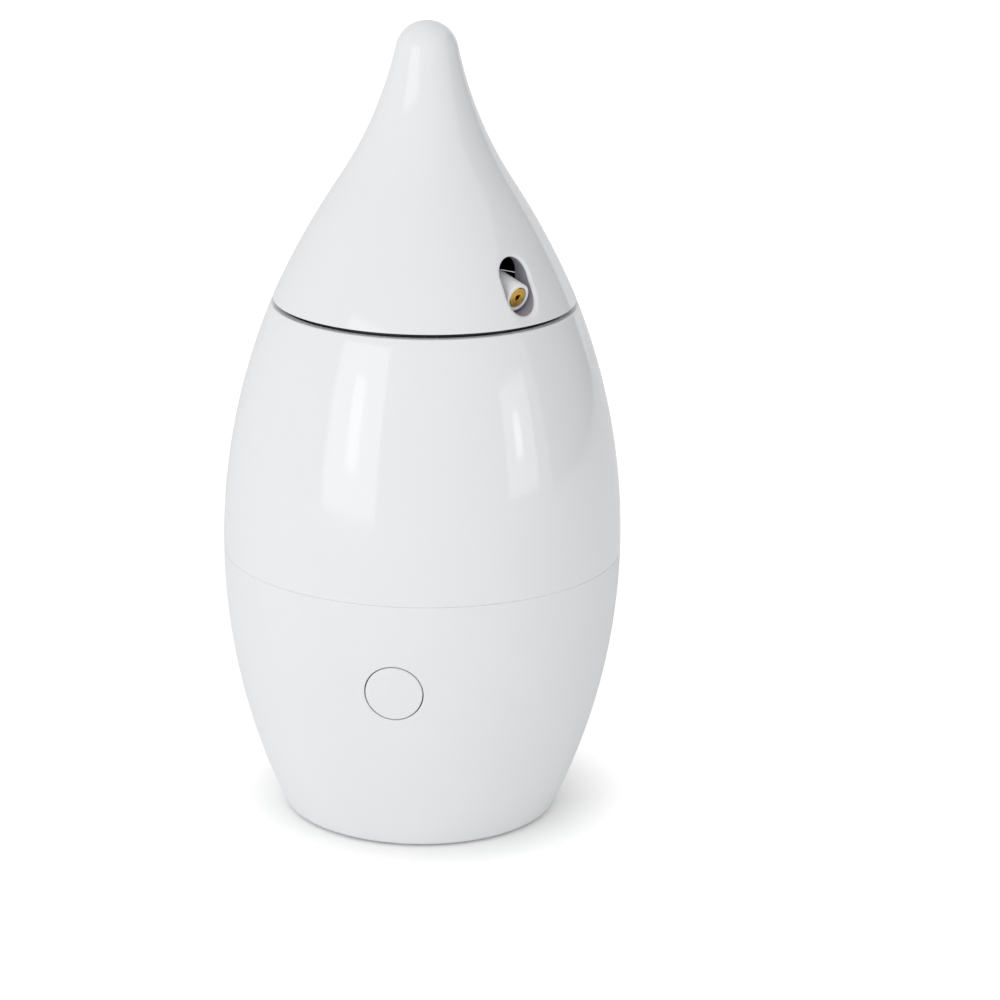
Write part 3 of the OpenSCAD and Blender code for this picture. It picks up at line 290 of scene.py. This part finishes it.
def add(material, kind, settings, inputs):
    """Adds a node with its settings; an input takes a value, or a link from another node's output."""
    made = material.node_tree.nodes.new(kind)
    for key, value in settings.items():
        setattr(made, key, value)
    for key, value in inputs.items():
        if isinstance(value, bpy.types.NodeSocket):
            material.node_tree.links.new(value, made.inputs[key])
        else:
            made.inputs[key].default_value = value
    return made


def moulded(name, pale, dark, patch, grit, depth, rough, ior=1.53):
    """A moulded plastic or rubber. Its colour drifts between two close shades in patches, grit is the spacing
    of the mould's skin, depth the height of its bumps, all in mm, and rough the range of its roughness."""
    material = bpy.data.materials.new(name)
    material.use_nodes = True
    material.node_tree.nodes.clear()
    place = add(material, "ShaderNodeTexCoord", {}, {}).outputs["Object"]
    drift = add(material, "ShaderNodeTexNoise", {}, {
        "Vector": place, "Scale": 1 / (patch * MM), "Detail": 3.0, "Roughness": 0.5})
    colour = add(material, "ShaderNodeMix", {"data_type": "RGBA"}, {0: drift.outputs["Fac"]})
    colour.inputs[6].default_value = linear(dark)
    colour.inputs[7].default_value = linear(pale)
    skin = add(material, "ShaderNodeTexNoise", {}, {
        "Vector": place, "Scale": 1 / (grit * MM), "Detail": 2.0, "Roughness": 0.6})
    gloss = add(material, "ShaderNodeMapRange", {}, {
        "Value": skin.outputs["Fac"], "From Min": 0.3, "From Max": 0.7, "To Min": rough[0], "To Max": rough[1]})
    relief = add(material, "ShaderNodeBump", {}, {
        "Height": skin.outputs["Fac"], "Strength": 1.0, "Distance": depth * MM})
    body = add(material, "ShaderNodeBsdfPrincipled", {}, {
        "Base Color": colour.outputs[2], "Roughness": gloss.outputs["Result"], "Normal": relief.outputs["Normal"],
        "IOR": ior})
    add(material, "ShaderNodeOutputMaterial", {}, {"Surface": body.outputs["BSDF"]})
    return material


def skin_of(node, material):
    """Gives a CAD node its material."""
    piece = frame["nodes"][node]
    piece.data.materials.clear()
    piece.data.materials.append(material)
    for face in piece.data.polygons:
        face.material_index = 0


# White ABS, spark-eroded: a dull, even sheen with a grain too fine to see, drawn here at 0.5 mm so that it shows
SATIN_ABS = moulded("satin_white_abs", "#F0F1F2", "#ECEDEF", 22.0, 0.5, 0.0022, (0.40, 0.50))

lower_side = turned("guide", [(0, BASE_Z)] + side(1.5, SEAM_Z, 0) + [(0, SEAM_Z)])

lower = turned("lower_shell_abs", (
    [(0, BASE_Z)] + bow(35.46, 2.0, FOOT_EDGE, -90, -24.7)
    + side(1.6, 71.7, 0)
    + [(body_radius(71.8) - 0.05, 71.84), (body_radius(SEAM_Z) - 0.2, SEAM_Z)]
    + [(50.24, SEAM_Z), (50.24, 74.0), (50.1, 74.1), (48.89, 74.1), (48.89, 68.9)]
    + side(68.8, FLOOR_Z, WALL, 4.0) + [(0, FLOOR_Z)]))
lower.data.materials.append(SATIN_ABS)
for angle in POSTS:
    cut(lower, rod(4.5, ROOT, 65.9, (POST_R, 0), turn=about_z(angle)), "UNION")
for y in (-DOOR_SCREW_Y, DOOR_SCREW_Y):
    cut(lower, rod(5.0, ROOT, 10.0, (0, y)), "UNION")
for x in (-CASE_SCREW_X, CASE_SCREW_X):
    cut(lower, rod(3.2, ROOT, 9.0, (x, 0)), "UNION")
for angle in POSTS:
    cut(lower, rod(WELL_R, BELOW, 59.9, (POST_R, 0), turn=about_z(angle)))
    cut(lower, rod(1.5, 50.0, 70.0, (POST_R, 0), around=32, turn=about_z(angle)))
for angle in FEET:
    cut(lower, rod(FOOT_HOLE_R, BELOW, FOOT_HOLE_TOP, (POST_R, 0), around=64, turn=about_z(angle)))
cut(lower, rounded_block(BAY_HALF, BAY_HALF, BELOW, FLOOR_Z, BAY_CORNER))
for y in (-DOOR_SCREW_Y, DOOR_SCREW_Y):
    cut(lower, rod(EAR_R, BELOW, FLOOR_Z, (0, y)))
    cut(lower, rod(1.1, 0.0, 9.0, (0, y), around=24))
    hollow = rounded_block(EAR_R, 3.0, BELOW, FLOOR_Z, 0.01)
    settle(hollow, Matrix.Translation((0, math.copysign(EAR_Y, y) * MM, 0)))
    cut(lower, hollow)
cut(lower, fitted_end(lower_side, HOLE_D, HOLE_D, BUTTON_Z - HOLE_D / 2, 38.4, lip(HOLE_LIP), 60))
smooth(lower)
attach(lower, "housing")
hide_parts("lower_shell")

# ---- Rubber feet and body screws ----
# Three black rubber discs pressed into recesses, each with a moulded ring on its underside.
# The screws are zinc-plated steel; they stand deep in the wells and pull the two shells together.


def plated(name, pale, dark, brush, rough, lathe=False):
    """A bright metal with fine marks, brush mm apart, that run round Z when it was turned on a lathe."""
    material = bpy.data.materials.new(name)
    material.use_nodes = True
    material.node_tree.nodes.clear()
    place = add(material, "ShaderNodeTexCoord", {}, {}).outputs["Object"]
    if lathe:
        place = add(material, "ShaderNodeMapping", {}, {"Vector": place, "Scale": (0.15, 0.15, 1.0)}).outputs[0]
    marks = add(material, "ShaderNodeTexNoise", {}, {
        "Vector": place, "Scale": 1 / (brush * MM), "Detail": 3.0, "Roughness": 0.65})
    tint = add(material, "ShaderNodeMix", {"data_type": "RGBA"}, {0: marks.outputs["Fac"]})
    tint.inputs[6].default_value = linear(dark)
    tint.inputs[7].default_value = linear(pale)
    gloss = add(material, "ShaderNodeMapRange", {}, {
        "Value": marks.outputs["Fac"], "From Min": 0.3, "From Max": 0.7, "To Min": rough[0], "To Max": rough[1]})
    relief = add(material, "ShaderNodeBump", {}, {
        "Height": marks.outputs["Fac"], "Strength": 1.0, "Distance": 0.0015 * MM})
    body = add(material, "ShaderNodeBsdfPrincipled", {}, {
        "Base Color": tint.outputs[2], "Roughness": gloss.outputs["Result"], "Normal": relief.outputs["Normal"],
        "Metallic": 1.0})
    add(material, "ShaderNodeOutputMaterial", {}, {"Surface": body.outputs["BSDF"]})
    return material


def own_copy(node):
    """A copy of a CAD node's mesh that can be worked on, with its loose triangles merged."""
    source = frame["nodes"][node]
    body = source["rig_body"]
    piece = bpy.data.objects.new(node + "_finished", source.data.copy())
    bpy.context.scene.collection.objects.link(piece)
    piece.data.name = piece.name
    piece.data.materials.clear()
    edit(piece)
    bpy.ops.mesh.remove_doubles(threshold=0.001 * MM)
    bpy.ops.object.mode_set(mode="OBJECT")
    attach(piece, body)
    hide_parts(node)
    return piece


def soften(piece, width):
    """Takes the sharpness off a copy's hard edges, as moulding or plating does."""
    edit(piece)
    bpy.ops.mesh.dissolve_limited(angle_limit=math.radians(0.6))
    bpy.ops.object.mode_set(mode="OBJECT")
    modify(piece, "BEVEL", width=width * MM, segments=2, limit_method="ANGLE",
           angle_limit=math.radians(40), harden_normals=False, use_clamp_overlap=True)
    smooth(piece, 30)


def finished(node, width, material):
    """A copy of a CAD node with softened edges, in its material."""
    piece = own_copy(node)
    soften(piece, width)
    piece.data.materials.append(material)


# Soft black rubber, dusty where it touches the floor: dull, with a faint grain
FOOT_RUBBER = moulded("foot_rubber", "#3B3B3D", "#2A2A2B", 3.0, 0.35, 0.006, (0.62, 0.78), 1.52)
# Zinc over steel: a bright, slightly blue-grey metal with fine drawing marks
ZINC_STEEL = plated("zinc_plated_steel", "#C9CBCD", "#AEB1B4", 0.4, (0.24, 0.36))

finished("rubber_feet", 0.25, FOOT_RUBBER)
finished("shell_screws", 0.12, ZINC_STEEL)

# ---- Batteries in their case ----
# A black ABS bay with rounded corners that holds four upright AA cells in printed sleeves.
# Nickel-plated plates and wound steel springs join the cells; two insulated wires lead to the board.


def wound(node, finish):
    """A wire or spring: its CAD tube, merged and rounded to a smooth wire."""
    piece = own_copy(node)
    modify(piece, "SUBSURF", levels=1, render_levels=1)
    only(piece)
    bpy.ops.object.shade_smooth()
    piece.data.materials.append(finish)
    return piece


def wires(node, second):
    """A pair of insulated wires: the first keeps one colour and the second gets the other."""
    piece = wound(node, WIRE_RED)
    piece.data.materials.append(second)
    bpy.ops.object.mode_set(mode="EDIT")
    bpy.ops.mesh.select_all(action="DESELECT")
    bpy.ops.object.mode_set(mode="OBJECT")
    piece.data.vertices[0].select = True
    bpy.ops.object.mode_set(mode="EDIT")
    bpy.ops.mesh.select_linked()
    piece.active_material_index = 1
    bpy.ops.object.material_slot_assign()
    bpy.ops.object.mode_set(mode="OBJECT")
    return piece


# Black ABS, fine satin mould skin
BLACK_ABS = moulded("black_abs", "#242426", "#1B1B1D", 9.0, 0.45, 0.004, (0.38, 0.52))
# Printed shrink sleeve over a steel can, plain bronze: smooth, with a soft sheen
CELL_SLEEVE = moulded("cell_sleeve", "#8A6A42", "#7D5F3A", 14.0, 1.2, 0.002, (0.24, 0.32), 1.5)
# Nickel over spring steel: warmer and brighter than zinc
NICKEL_STEEL = plated("nickel_plated_steel", "#D6D2CA", "#BFBBB2", 0.3, (0.16, 0.28))
# Soft vinyl insulation in red and in black
WIRE_RED = moulded("red_vinyl_insulation", "#A8241F", "#951C18", 4.0, 0.3, 0.002, (0.36, 0.46), 1.52)
WIRE_BLACK = moulded("black_vinyl_insulation", "#232324", "#19191A", 4.0, 0.3, 0.002, (0.36, 0.46), 1.52)

finished("battery_case", 0.2, BLACK_ABS)
finished("battery_cells", 0.3, CELL_SLEEVE)
for node in ("case_contacts", "case_screws", "door_contacts"):
    skin_of(node, NICKEL_STEEL if "contacts" in node else ZINC_STEEL)
wound("case_springs", NICKEL_STEEL)
wires("battery_leads", WIRE_BLACK)

# ---- Battery door ----
# A flat lid of the same satin ABS that drops flush into the base, with a rim that centres it in the bay.
# Two screws in its ears hold it; a contact plate and springs for two of the cells sit on its inner face.
finished("battery_door", 0.25, SATIN_ABS)
finished("door_screws", 0.1, ZINC_STEEL)
wound("door_springs", NICKEL_STEEL)

# ---- Main board and push button ----
# A green glass-epoxy board stands behind the front wall with a square tactile switch on it.
# The round satin button follows the body's curve and sits flush in its hole with an even hairline gap.

# Glass-epoxy laminate under green solder mask: glossy, with the weave of the glass showing faintly through
BOARD_GREEN = moulded("green_solder_mask", "#2C6B43", "#235A38", 1.2, 0.4, 0.003, (0.2, 0.3), 1.55)
# Red acetal plunger of the switch
SWITCH_RED = moulded("red_acetal", "#A63228", "#97291F", 3.0, 0.3, 0.002, (0.34, 0.42), 1.48)

for node, finish in (("main_board", BOARD_GREEN), ("board_parts", BLACK_ABS), ("switch_body", BLACK_ABS),
                     ("switch_plunger", SWITCH_RED), ("board_screws", ZINC_STEEL)):
    skin_of(node, finish)

CAP_D, CAP_EDGE = 14.6, 0.25
FLANGE_R, FLANGE_IN, FLANGE_OUT = 8.8, 44.5155, 45.7155
STEM_R, STEM_IN = 2.15, 43.4

cap_edge = [(-CAP_EDGE * (1 - math.cos(math.radians(a))), CAP_EDGE * (1 - math.sin(math.radians(a))))
            for a in (0, 15, 30, 45, 60, 75)]
face = [(-step, 0.0) for step in (0.4, 0.8, 1.8, 2.8, 3.8, 4.8, 5.8, 6.8)]
button = fitted_end(lower_side, CAP_D, CAP_D, BUTTON_Z - CAP_D / 2, 45.1, cap_edge + face)
bpy.data.objects.remove(lower_side)
button.name = button.data.name = "push_button"
button.data.materials.append(SATIN_ABS)
lie = Matrix.Translation((0, 0, BUTTON_Z * MM)) @ Matrix.Rotation(math.pi / 2, 4, "X")
cut(button, rod(FLANGE_R, FLANGE_IN, FLANGE_OUT, around=96, turn=lie), "UNION")
cut(button, rod(STEM_R, STEM_IN, 45.0, around=32, turn=lie), "UNION")
smooth(button)
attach(button, "button")
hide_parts("power_button")

# ---- Upper shell ----
# The upper half of the body: white ABS from a polished mould, so that it reflects the lamps sharply.
# A tongue in the lower shell centres it at the seam; a deck across its top carries the drive.
RIM_Z = 137.8
DECK_TOP = 133.4
DECK_LOW = 131.0
BUSH_HOLE_R = 7.05
PILLAR_LOW, ROOT_TOP = 112.4, 132.0
PILLARS = ((-16, 20.5), (27, 24), (-18, -17.5), (18, -17.5))

# White ABS, polished mould: glossy, with the very slight long waves that a cooled moulding shows
GLOSS_ABS = moulded("gloss_white_abs", "#F0F1F3", "#EDEEF0", 30.0, 9.0, 0.004, (0.06, 0.09))

upper = turned("upper_shell_abs", (
    [(body_radius(SEAM_Z) - 0.2, SEAM_Z), (body_radius(72.0) - 0.05, 71.96)]
    + side(72.1, 137.6, 0)
    + [(body_radius(137.7) - 0.03, 137.7), (body_radius(137.8) - 0.2, RIM_Z)]
    + [(body_radius(137.8, WALL) + 0.3, RIM_Z), (body_radius(137.5, WALL), 137.5)]
    + side(137.0, DECK_TOP, WALL, 3.0)
    + [(BUSH_HOLE_R, DECK_TOP), (BUSH_HOLE_R, DECK_LOW)]
    + side(DECK_LOW, SEAM_Z, WALL, 4.0)), closed=True)
upper.data.materials.append(GLOSS_ABS)
for angle in POSTS:
    cut(upper, rod(4.0, 65.9, ROOT_TOP, (POST_R, 0), turn=about_z(angle)), "UNION")
for spot in PILLARS:
    cut(upper, rod(3.0, PILLAR_LOW, ROOT_TOP, spot), "UNION")
smooth(upper)
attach(upper, "housing")
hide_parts("upper_shell")

# ---- Motor and gears under the deck ----
# A round steel-canned motor drives three pairs of natural acetal gears under the deck, on a black plate.
# The wheels turn on fixed steel axles; the motor's pinion is brass.

# Acetal as moulded: milky, faintly waxy
ACETAL = moulded("natural_acetal", "#E6E2D6", "#DEDACC", 6.0, 0.6, 0.003, (0.34, 0.44), 1.48)
# Turned brass: warm, with fine lathe rings
BRASS = plated("turned_brass", "#DDB45C", "#C49A45", 0.25, (0.20, 0.34), lathe=True)

for node, finish in (
        ("gearbox_plate", BLACK_ABS), ("gearbox_screws", ZINC_STEEL), ("gear_axles", NICKEL_STEEL),
        ("deck_bush", ACETAL), ("plate_bush", ACETAL), ("thrust_washer", NICKEL_STEEL), ("motor", ZINC_STEEL),
        ("motor_screws", ZINC_STEEL), ("motor_shaft", NICKEL_STEEL), ("motor_pinion", BRASS),
        ("first_gear", ACETAL), ("second_gear", ACETAL), ("output_gear", ACETAL), ("gear_pin", NICKEL_STEEL)):
    skin_of(node, finish)
wires("motor_leads", WIRE_BLACK)

# ---- Spindle and slip rings ----
# The acetal spindle hangs in the deck's bush and carries the head; two copper rings on it take the current
# from springy brushes in a black holder, so that the head can turn without end.

# Rolled copper, a little tarnished
COPPER = plated("rolled_copper", "#C77F5A", "#AD6A48", 0.3, (0.26, 0.40))

for node, finish in (
        ("spindle", ACETAL), ("spindle_clip", NICKEL_STEEL), ("slip_rings", COPPER), ("brush_holder", BLACK_ABS),
        ("brush_screws", ZINC_STEEL), ("brushes", COPPER), ("spindle_screws", ZINC_STEEL)):
    skin_of(node, finish)
wires("brush_leads", WIRE_BLACK)

# ---- Head ----
# A teardrop cap of the same glossy ABS that turns on the body, with an upright round-ended slot on each side.
# Each slot has a short collar inside. A flat black plate closes it below, and its inside is coloured a dark grey
# as painted shade.
HEAD_RIM = 138.95
HEAD_WALL = 2.0
HEADING = 50.6
SLOT_W, SLOT_H, SLOT_LOW = 9.3, 14.0, 141.1
TUNNEL_IN, COLLAR_IN, COLLAR_WALL = 27.6, 28.6, 1.2
RIM_R = 39.4
SHOULDER_R, SHOULDER_X, SHOULDER_Z = 201.8, -145.522, 58.1596
NECK_R, NECK_X, NECK_Z = 102.6, 108.137, 226.435
TIP_R, TIP_Z = 8.0773, 202.857


def head_side(inset, most=3.0):
    """Points up the head's side, drawn inwards by inset: a shoulder, a hollow neck and a round tip."""
    shoulder = SHOULDER_R - inset
    low = math.degrees(math.asin((HEAD_RIM + 0.22 - SHOULDER_Z) / shoulder))
    return (bow(SHOULDER_X, SHOULDER_Z, shoulder, low, 33.56, most / 3.5)
            + bow(NECK_X, NECK_Z, NECK_R + inset, 213.56, 192.3, most / 1.8)[1:]
            + bow(0, TIP_Z, TIP_R - inset, 12.3, 90, 6.5)[1:])


# Inside the head no light falls, so its white moulding is coloured a deep, slightly violet grey: painted shade
PAINTED_SHADE_INSIDE = moulded("shaded_inside", "#2B282E", "#201E23", 8.0, 0.6, 0.003, (0.5, 0.6))
# The walls of the slots are white too; this grey is painted shade from the head around them
SLOT_SHADE = moulded("shaded_slot", "#A6A3AF", "#98959F", 6.0, 0.6, 0.003, (0.3, 0.4))

outer = head_side(0)
inner = head_side(HEAD_WALL)
rim_in = inner[0][0]
head = turned("head_shell_abs", (
    inner[::-1] + [(rim_in + 0.25, HEAD_RIM + 0.12), (rim_in + 0.5, HEAD_RIM)]
    + [(RIM_R - 0.24, HEAD_RIM), (RIM_R - 0.12, HEAD_RIM + 0.03), (RIM_R - 0.05, HEAD_RIM + 0.1)] + outer))
head.data.materials.append(GLOSS_ABS)
head.data.materials.append(PAINTED_SHADE_INSIDE)
# The head's inner faces get the painted shade
edit(head)
pick(head, lambda p: math.hypot(p.x, p.y) < rim_in + 0.01 and any(
    abs(math.hypot(math.hypot(p.x, p.y) - r, p.z - z)) < 0.02 for r, z in inner))
head.active_material_index = 1
bpy.ops.object.material_slot_assign()
bpy.ops.object.mode_set(mode="OBJECT")

head_outside = turned("guide", [(0, HEAD_RIM), (RIM_R, HEAD_RIM)] + outer)
head_middle = turned("guide", [(0, HEAD_RIM + 0.4)] + head_side(HEAD_WALL / 2))
collar = fitted_end(head_middle, SLOT_W + 2 * COLLAR_WALL, SLOT_H + 2 * COLLAR_WALL,
                    SLOT_LOW - COLLAR_WALL, COLLAR_IN, [(0, 0)])
# The collars inside the head get the painted shade as well
collar.data.materials.append(PAINTED_SHADE_INSIDE)
facing_back = collar.copy()
facing_back.data = collar.data.copy()
bpy.context.scene.collection.objects.link(facing_back)
settle(collar, about_z(HEADING))
settle(facing_back, about_z(HEADING + 180))
cut(head, collar, "UNION")
cut(head, facing_back, "UNION")
for turn_by in (0, 180):
    slot_cut = fitted_end(head_outside, SLOT_W, SLOT_H, SLOT_LOW, TUNNEL_IN, lip(1.0), 48)
    slot_cut.data.materials.append(GLOSS_ABS)
    slot_cut.data.materials.append(SLOT_SHADE)
    # The slot's tunnel walls get the grey painted shade; its rounded lip stays glossy white
    edit(slot_cut)
    pick(slot_cut, lambda p: p.y > -TUNNEL_IN - 0.05)
    bpy.ops.mesh.select_more()
    slot_cut.active_material_index = 1
    bpy.ops.object.material_slot_assign()
    bpy.ops.object.mode_set(mode="OBJECT")
    settle(slot_cut, about_z(HEADING + turn_by))
    cut(head, slot_cut)
for guide in (head_outside, head_middle):
    bpy.data.objects.remove(guide)
smooth(head)
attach(head, "head")
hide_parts("head_shell")

finished("head_base", 0.2, BLACK_ABS)
skin_of("head_screws", ZINC_STEEL)

# ---- Laser frame and head board ----
# A black moulded frame on the head's base carries both lasers between pairs of ears.
# A small green board above it feeds them; its wires come up through the spindle.
for node, finish in (("laser_frame", BLACK_ABS), ("frame_screws", ZINC_STEEL), ("head_board", BOARD_GREEN)):
    skin_of(node, finish)
wires("head_leads", WIRE_BLACK)

# ---- Laser tubes ----
# Two white glossy tubes that tilt on pins, each with a brass laser module inside; its nose fills the tube's mouth.
# A dark red lens lies deep behind the small round opening in the brass.
TUBE_R = 3.7
BORE_R = 3.05
MOUTH = 20.3
PIVOT_OUT, PIVOT_Z = 14, 150.7
REST_TILT = 14.8

# The glass is deep red, so that it looks almost black until it is lit
LENS_RED = moulded("red_lens", "#6E0F12", "#5A0A0D", 2.0, 0.5, 0.001, (0.06, 0.1), 1.5)
# Brass is bright where the cutter last touched it, at the nose
NOSE_BRASS = plated("faced_brass", "#E2BC62", "#CFA54E", 0.12, (0.22, 0.34))


def laser_place(turn_by):
    """From the tube's own axis, +Z out of its mouth, to its place on the head."""
    return (about_z(HEADING + turn_by) @ Matrix.Translation((0, -PIVOT_OUT * MM, PIVOT_Z * MM))
            @ Matrix.Rotation(math.radians(90 + REST_TILT), 4, "X"))


def flat_rod(radius, half):
    """A pin along X through the tube's axis."""
    return rod(radius, -half, half, around=32, turn=Matrix.Rotation(math.pi / 2, 4, "Y"))


for which, turn_by in (("front", 0), ("rear", 180)):
    tube = turned(which + "_tube_abs", (
        [(BORE_R, -6), (3.5, -6), (TUBE_R, -5.8)] + [(TUBE_R, z) for z in (-2, 2, 8, 14)]
        + bow(3.35, 20.95, 0.35, 0, 90, 15) + bow(2.9, 21.15, 0.15, 90, 180, 30)
        + [(2.75, MOUTH), (BORE_R, MOUTH)]), closed=True, around=96)
    tube.data.materials.append(GLOSS_ABS)
    cut(tube, flat_rod(1.2, 6.2), "UNION")
    cut(tube, flat_rod(2.2, 4.0), "UNION")
    cut(tube, rod(BORE_R, -7.0, MOUTH, around=96))
    settle(tube, laser_place(turn_by))
    smooth(tube)
    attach(tube, which + "_laser")
    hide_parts(which + "_tube")

    module = turned(which + "_module_brass", (
        [(0.75, 19.85), (0.75, 21.1), (0.87, 21.22), (1.6, 21.22), (1.66, 21.16), (1.78, 21.16), (1.84, 21.22),
         (2.4, 21.22), (2.6, 21.05), (2.6, 20.25), (2.9, 20.25), (3.0, 20.15), (3.0, 7.25), (2.0, 7.25),
         (2.0, 19.85)]),
        closed=True, around=96)
    module.data.materials.append(NOSE_BRASS)
    settle(module, laser_place(turn_by))
    smooth(module)
    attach(module, which + "_laser")
    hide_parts(which + "_module")
    skin_of(which + "_lens", LENS_RED)
    skin_of(which + "_driver", BOARD_GREEN)

# ---- Floor, light and camera ----
# A white sheet under the toy, two softboxes, a grey card on the right and an even white room, as in a product
# photograph. The sheet looks pure white to the camera but keeps the soft shadow under the base, with painted
# shadow added close around it.
SHEET = "#FFFFFF"
CARD = "#5F6063"
CARD_AT = (1.148, 0.610, 0.42)

bpy.ops.object.select_all(action="DESELECT")
bpy.ops.mesh.primitive_circle_add(vertices=96, radius=1.6, fill_type="NGON", location=(0, 0.35, 0))
sheet = bpy.context.object
sheet.name = sheet.data.name = "floor_sheet"
settle(sheet)
paper = bpy.data.materials.new("white_sheet")
paper.use_nodes = True
paper.node_tree.nodes.clear()
rays = add(paper, "ShaderNodeLightPath", {}, {})
matt = add(paper, "ShaderNodeBsdfDiffuse", {}, {"Color": linear(SHEET)})
# The extra brightness that clips the sheet to white fades out close round the toy: this paints a darker ring
# there, painted shadow on top of the real contact shadow
place = add(paper, "ShaderNodeNewGeometry", {}, {})
away = add(paper, "ShaderNodeVectorMath", {"operation": "LENGTH"}, {0: place.outputs["Position"]})
painted_shadow_fade = add(paper, "ShaderNodeMapRange", {"interpolation_type": "SMOOTHSTEP"}, {
    "Value": away.outputs["Value"], "From Min": 0.034, "From Max": 0.060, "To Min": 0.08, "To Max": 0.36})
glow = add(paper, "ShaderNodeEmission", {}, {"Color": (1, 1, 1, 1), "Strength": painted_shadow_fade.outputs["Result"]})
lit = add(paper, "ShaderNodeAddShader", {}, {0: matt.outputs[0], 1: glow.outputs[0]})
seen = add(paper, "ShaderNodeMixShader", {}, {
    0: rays.outputs["Is Camera Ray"], 1: matt.outputs[0], 2: lit.outputs[0]})
# Seen from below the sheet is clear, so that the underside can be looked at
clear = add(paper, "ShaderNodeBsdfTransparent", {}, {})
sided = add(paper, "ShaderNodeMixShader", {}, {
    0: place.outputs["Backfacing"], 1: seen.outputs[0], 2: clear.outputs[0]})
add(paper, "ShaderNodeOutputMaterial", {}, {"Surface": sided.outputs[0]})
sheet.data.materials.append(paper)

# The card stands out of the camera's view and gives the glossy right side something darker to reflect
bpy.ops.object.select_all(action="DESELECT")
bpy.ops.mesh.primitive_plane_add(size=1, location=CARD_AT)
card = bpy.context.object
card.name = card.data.name = "grey_card"
card.scale = (1.6, 1.2, 1)
card.rotation_euler = (Vector((0, 0, 0.15)) - card.location).to_track_quat("Z", "Y").to_euler()
settle(card)
grey = bpy.data.materials.new("grey_card")
grey.use_nodes = True
grey.node_tree.nodes.clear()
matt = add(grey, "ShaderNodeBsdfDiffuse", {}, {"Color": linear(CARD)})
add(grey, "ShaderNodeOutputMaterial", {}, {"Surface": matt.outputs[0]})
card.data.materials.append(grey)
card.visible_camera = False


def softbox(name, azimuth, elevation, distance, width, tall, radiance):
    """A flat lamp that faces the toy's middle; azimuth is taken from the button's side towards +X."""
    a, e = math.radians(azimuth), math.radians(elevation)
    data = bpy.data.lights.new(name, "AREA")
    data.shape = "RECTANGLE"
    data.size, data.size_y, data.energy = width, tall, radiance * math.pi * width * tall
    lamp = bpy.data.objects.new(name, data)
    bpy.context.scene.collection.objects.link(lamp)
    middle = Vector((0, 0, 0.10))
    lamp.location = middle + distance * Vector(
        (math.sin(a) * math.cos(e), -math.cos(a) * math.cos(e), math.sin(e)))
    lamp.rotation_euler = (middle - lamp.location).to_track_quat("-Z", "Y").to_euler()


# Each softbox is brighter in its middle, where the bulb stands behind the cloth
softbox("softbox_left", -35.0, 12.0, 1.25, 0.76, 0.84, 1.4)
softbox("softbox_left_middle", -34.5, 12.0, 1.23, 0.16, 0.36, 1.6)
softbox("softbox_right", 68.0, 7.5, 1.25, 0.44, 0.43, 1.25)
softbox("softbox_right_middle", 67.0, 8.0, 1.23, 0.10, 0.17, 2.4)

room = bpy.data.worlds.new("white_room")
bpy.context.scene.world = room
room.use_nodes = True
room.node_tree.nodes.clear()
rays = add(room, "ShaderNodeLightPath", {}, {})
level = add(room, "ShaderNodeMix", {"data_type": "FLOAT"}, {
    0: rays.outputs["Is Camera Ray"], 2: 0.77, 3: 1.0})
air = add(room, "ShaderNodeBackground", {}, {"Color": (1, 1, 1, 1), "Strength": level.outputs[0]})
add(room, "ShaderNodeOutputWorld", {}, {"Surface": air.outputs[0]})

TO_LEFT, DOWN, ROLL = math.radians(-6.52), math.radians(17.392), math.radians(0.958)
forward = Vector((math.sin(TO_LEFT) * math.cos(DOWN), math.cos(TO_LEFT) * math.cos(DOWN), -math.sin(DOWN)))
level_right = Vector((math.cos(TO_LEFT), -math.sin(TO_LEFT), 0))
level_up = level_right.cross(forward)
right = math.cos(ROLL) * level_right + math.sin(ROLL) * level_up
up = -math.sin(ROLL) * level_right + math.cos(ROLL) * level_up
FOCAL_LENGTH, SENSOR = 117.42, 36.0
CAMERA_AT = (0.11373, -0.81546, 0.34194)
lens = bpy.data.cameras.new("camera")
lens.lens, lens.sensor_width = FOCAL_LENGTH, SENSOR
camera = bpy.data.objects.new("camera", lens)
bpy.context.scene.collection.objects.link(camera)
turn = Matrix((right, up, -forward)).transposed().to_4x4()
camera.matrix_world = Matrix.Translation(CAMERA_AT) @ turn
bpy.context.scene.camera = camera
bpy.context.scene.view_settings.view_transform = "Standard"
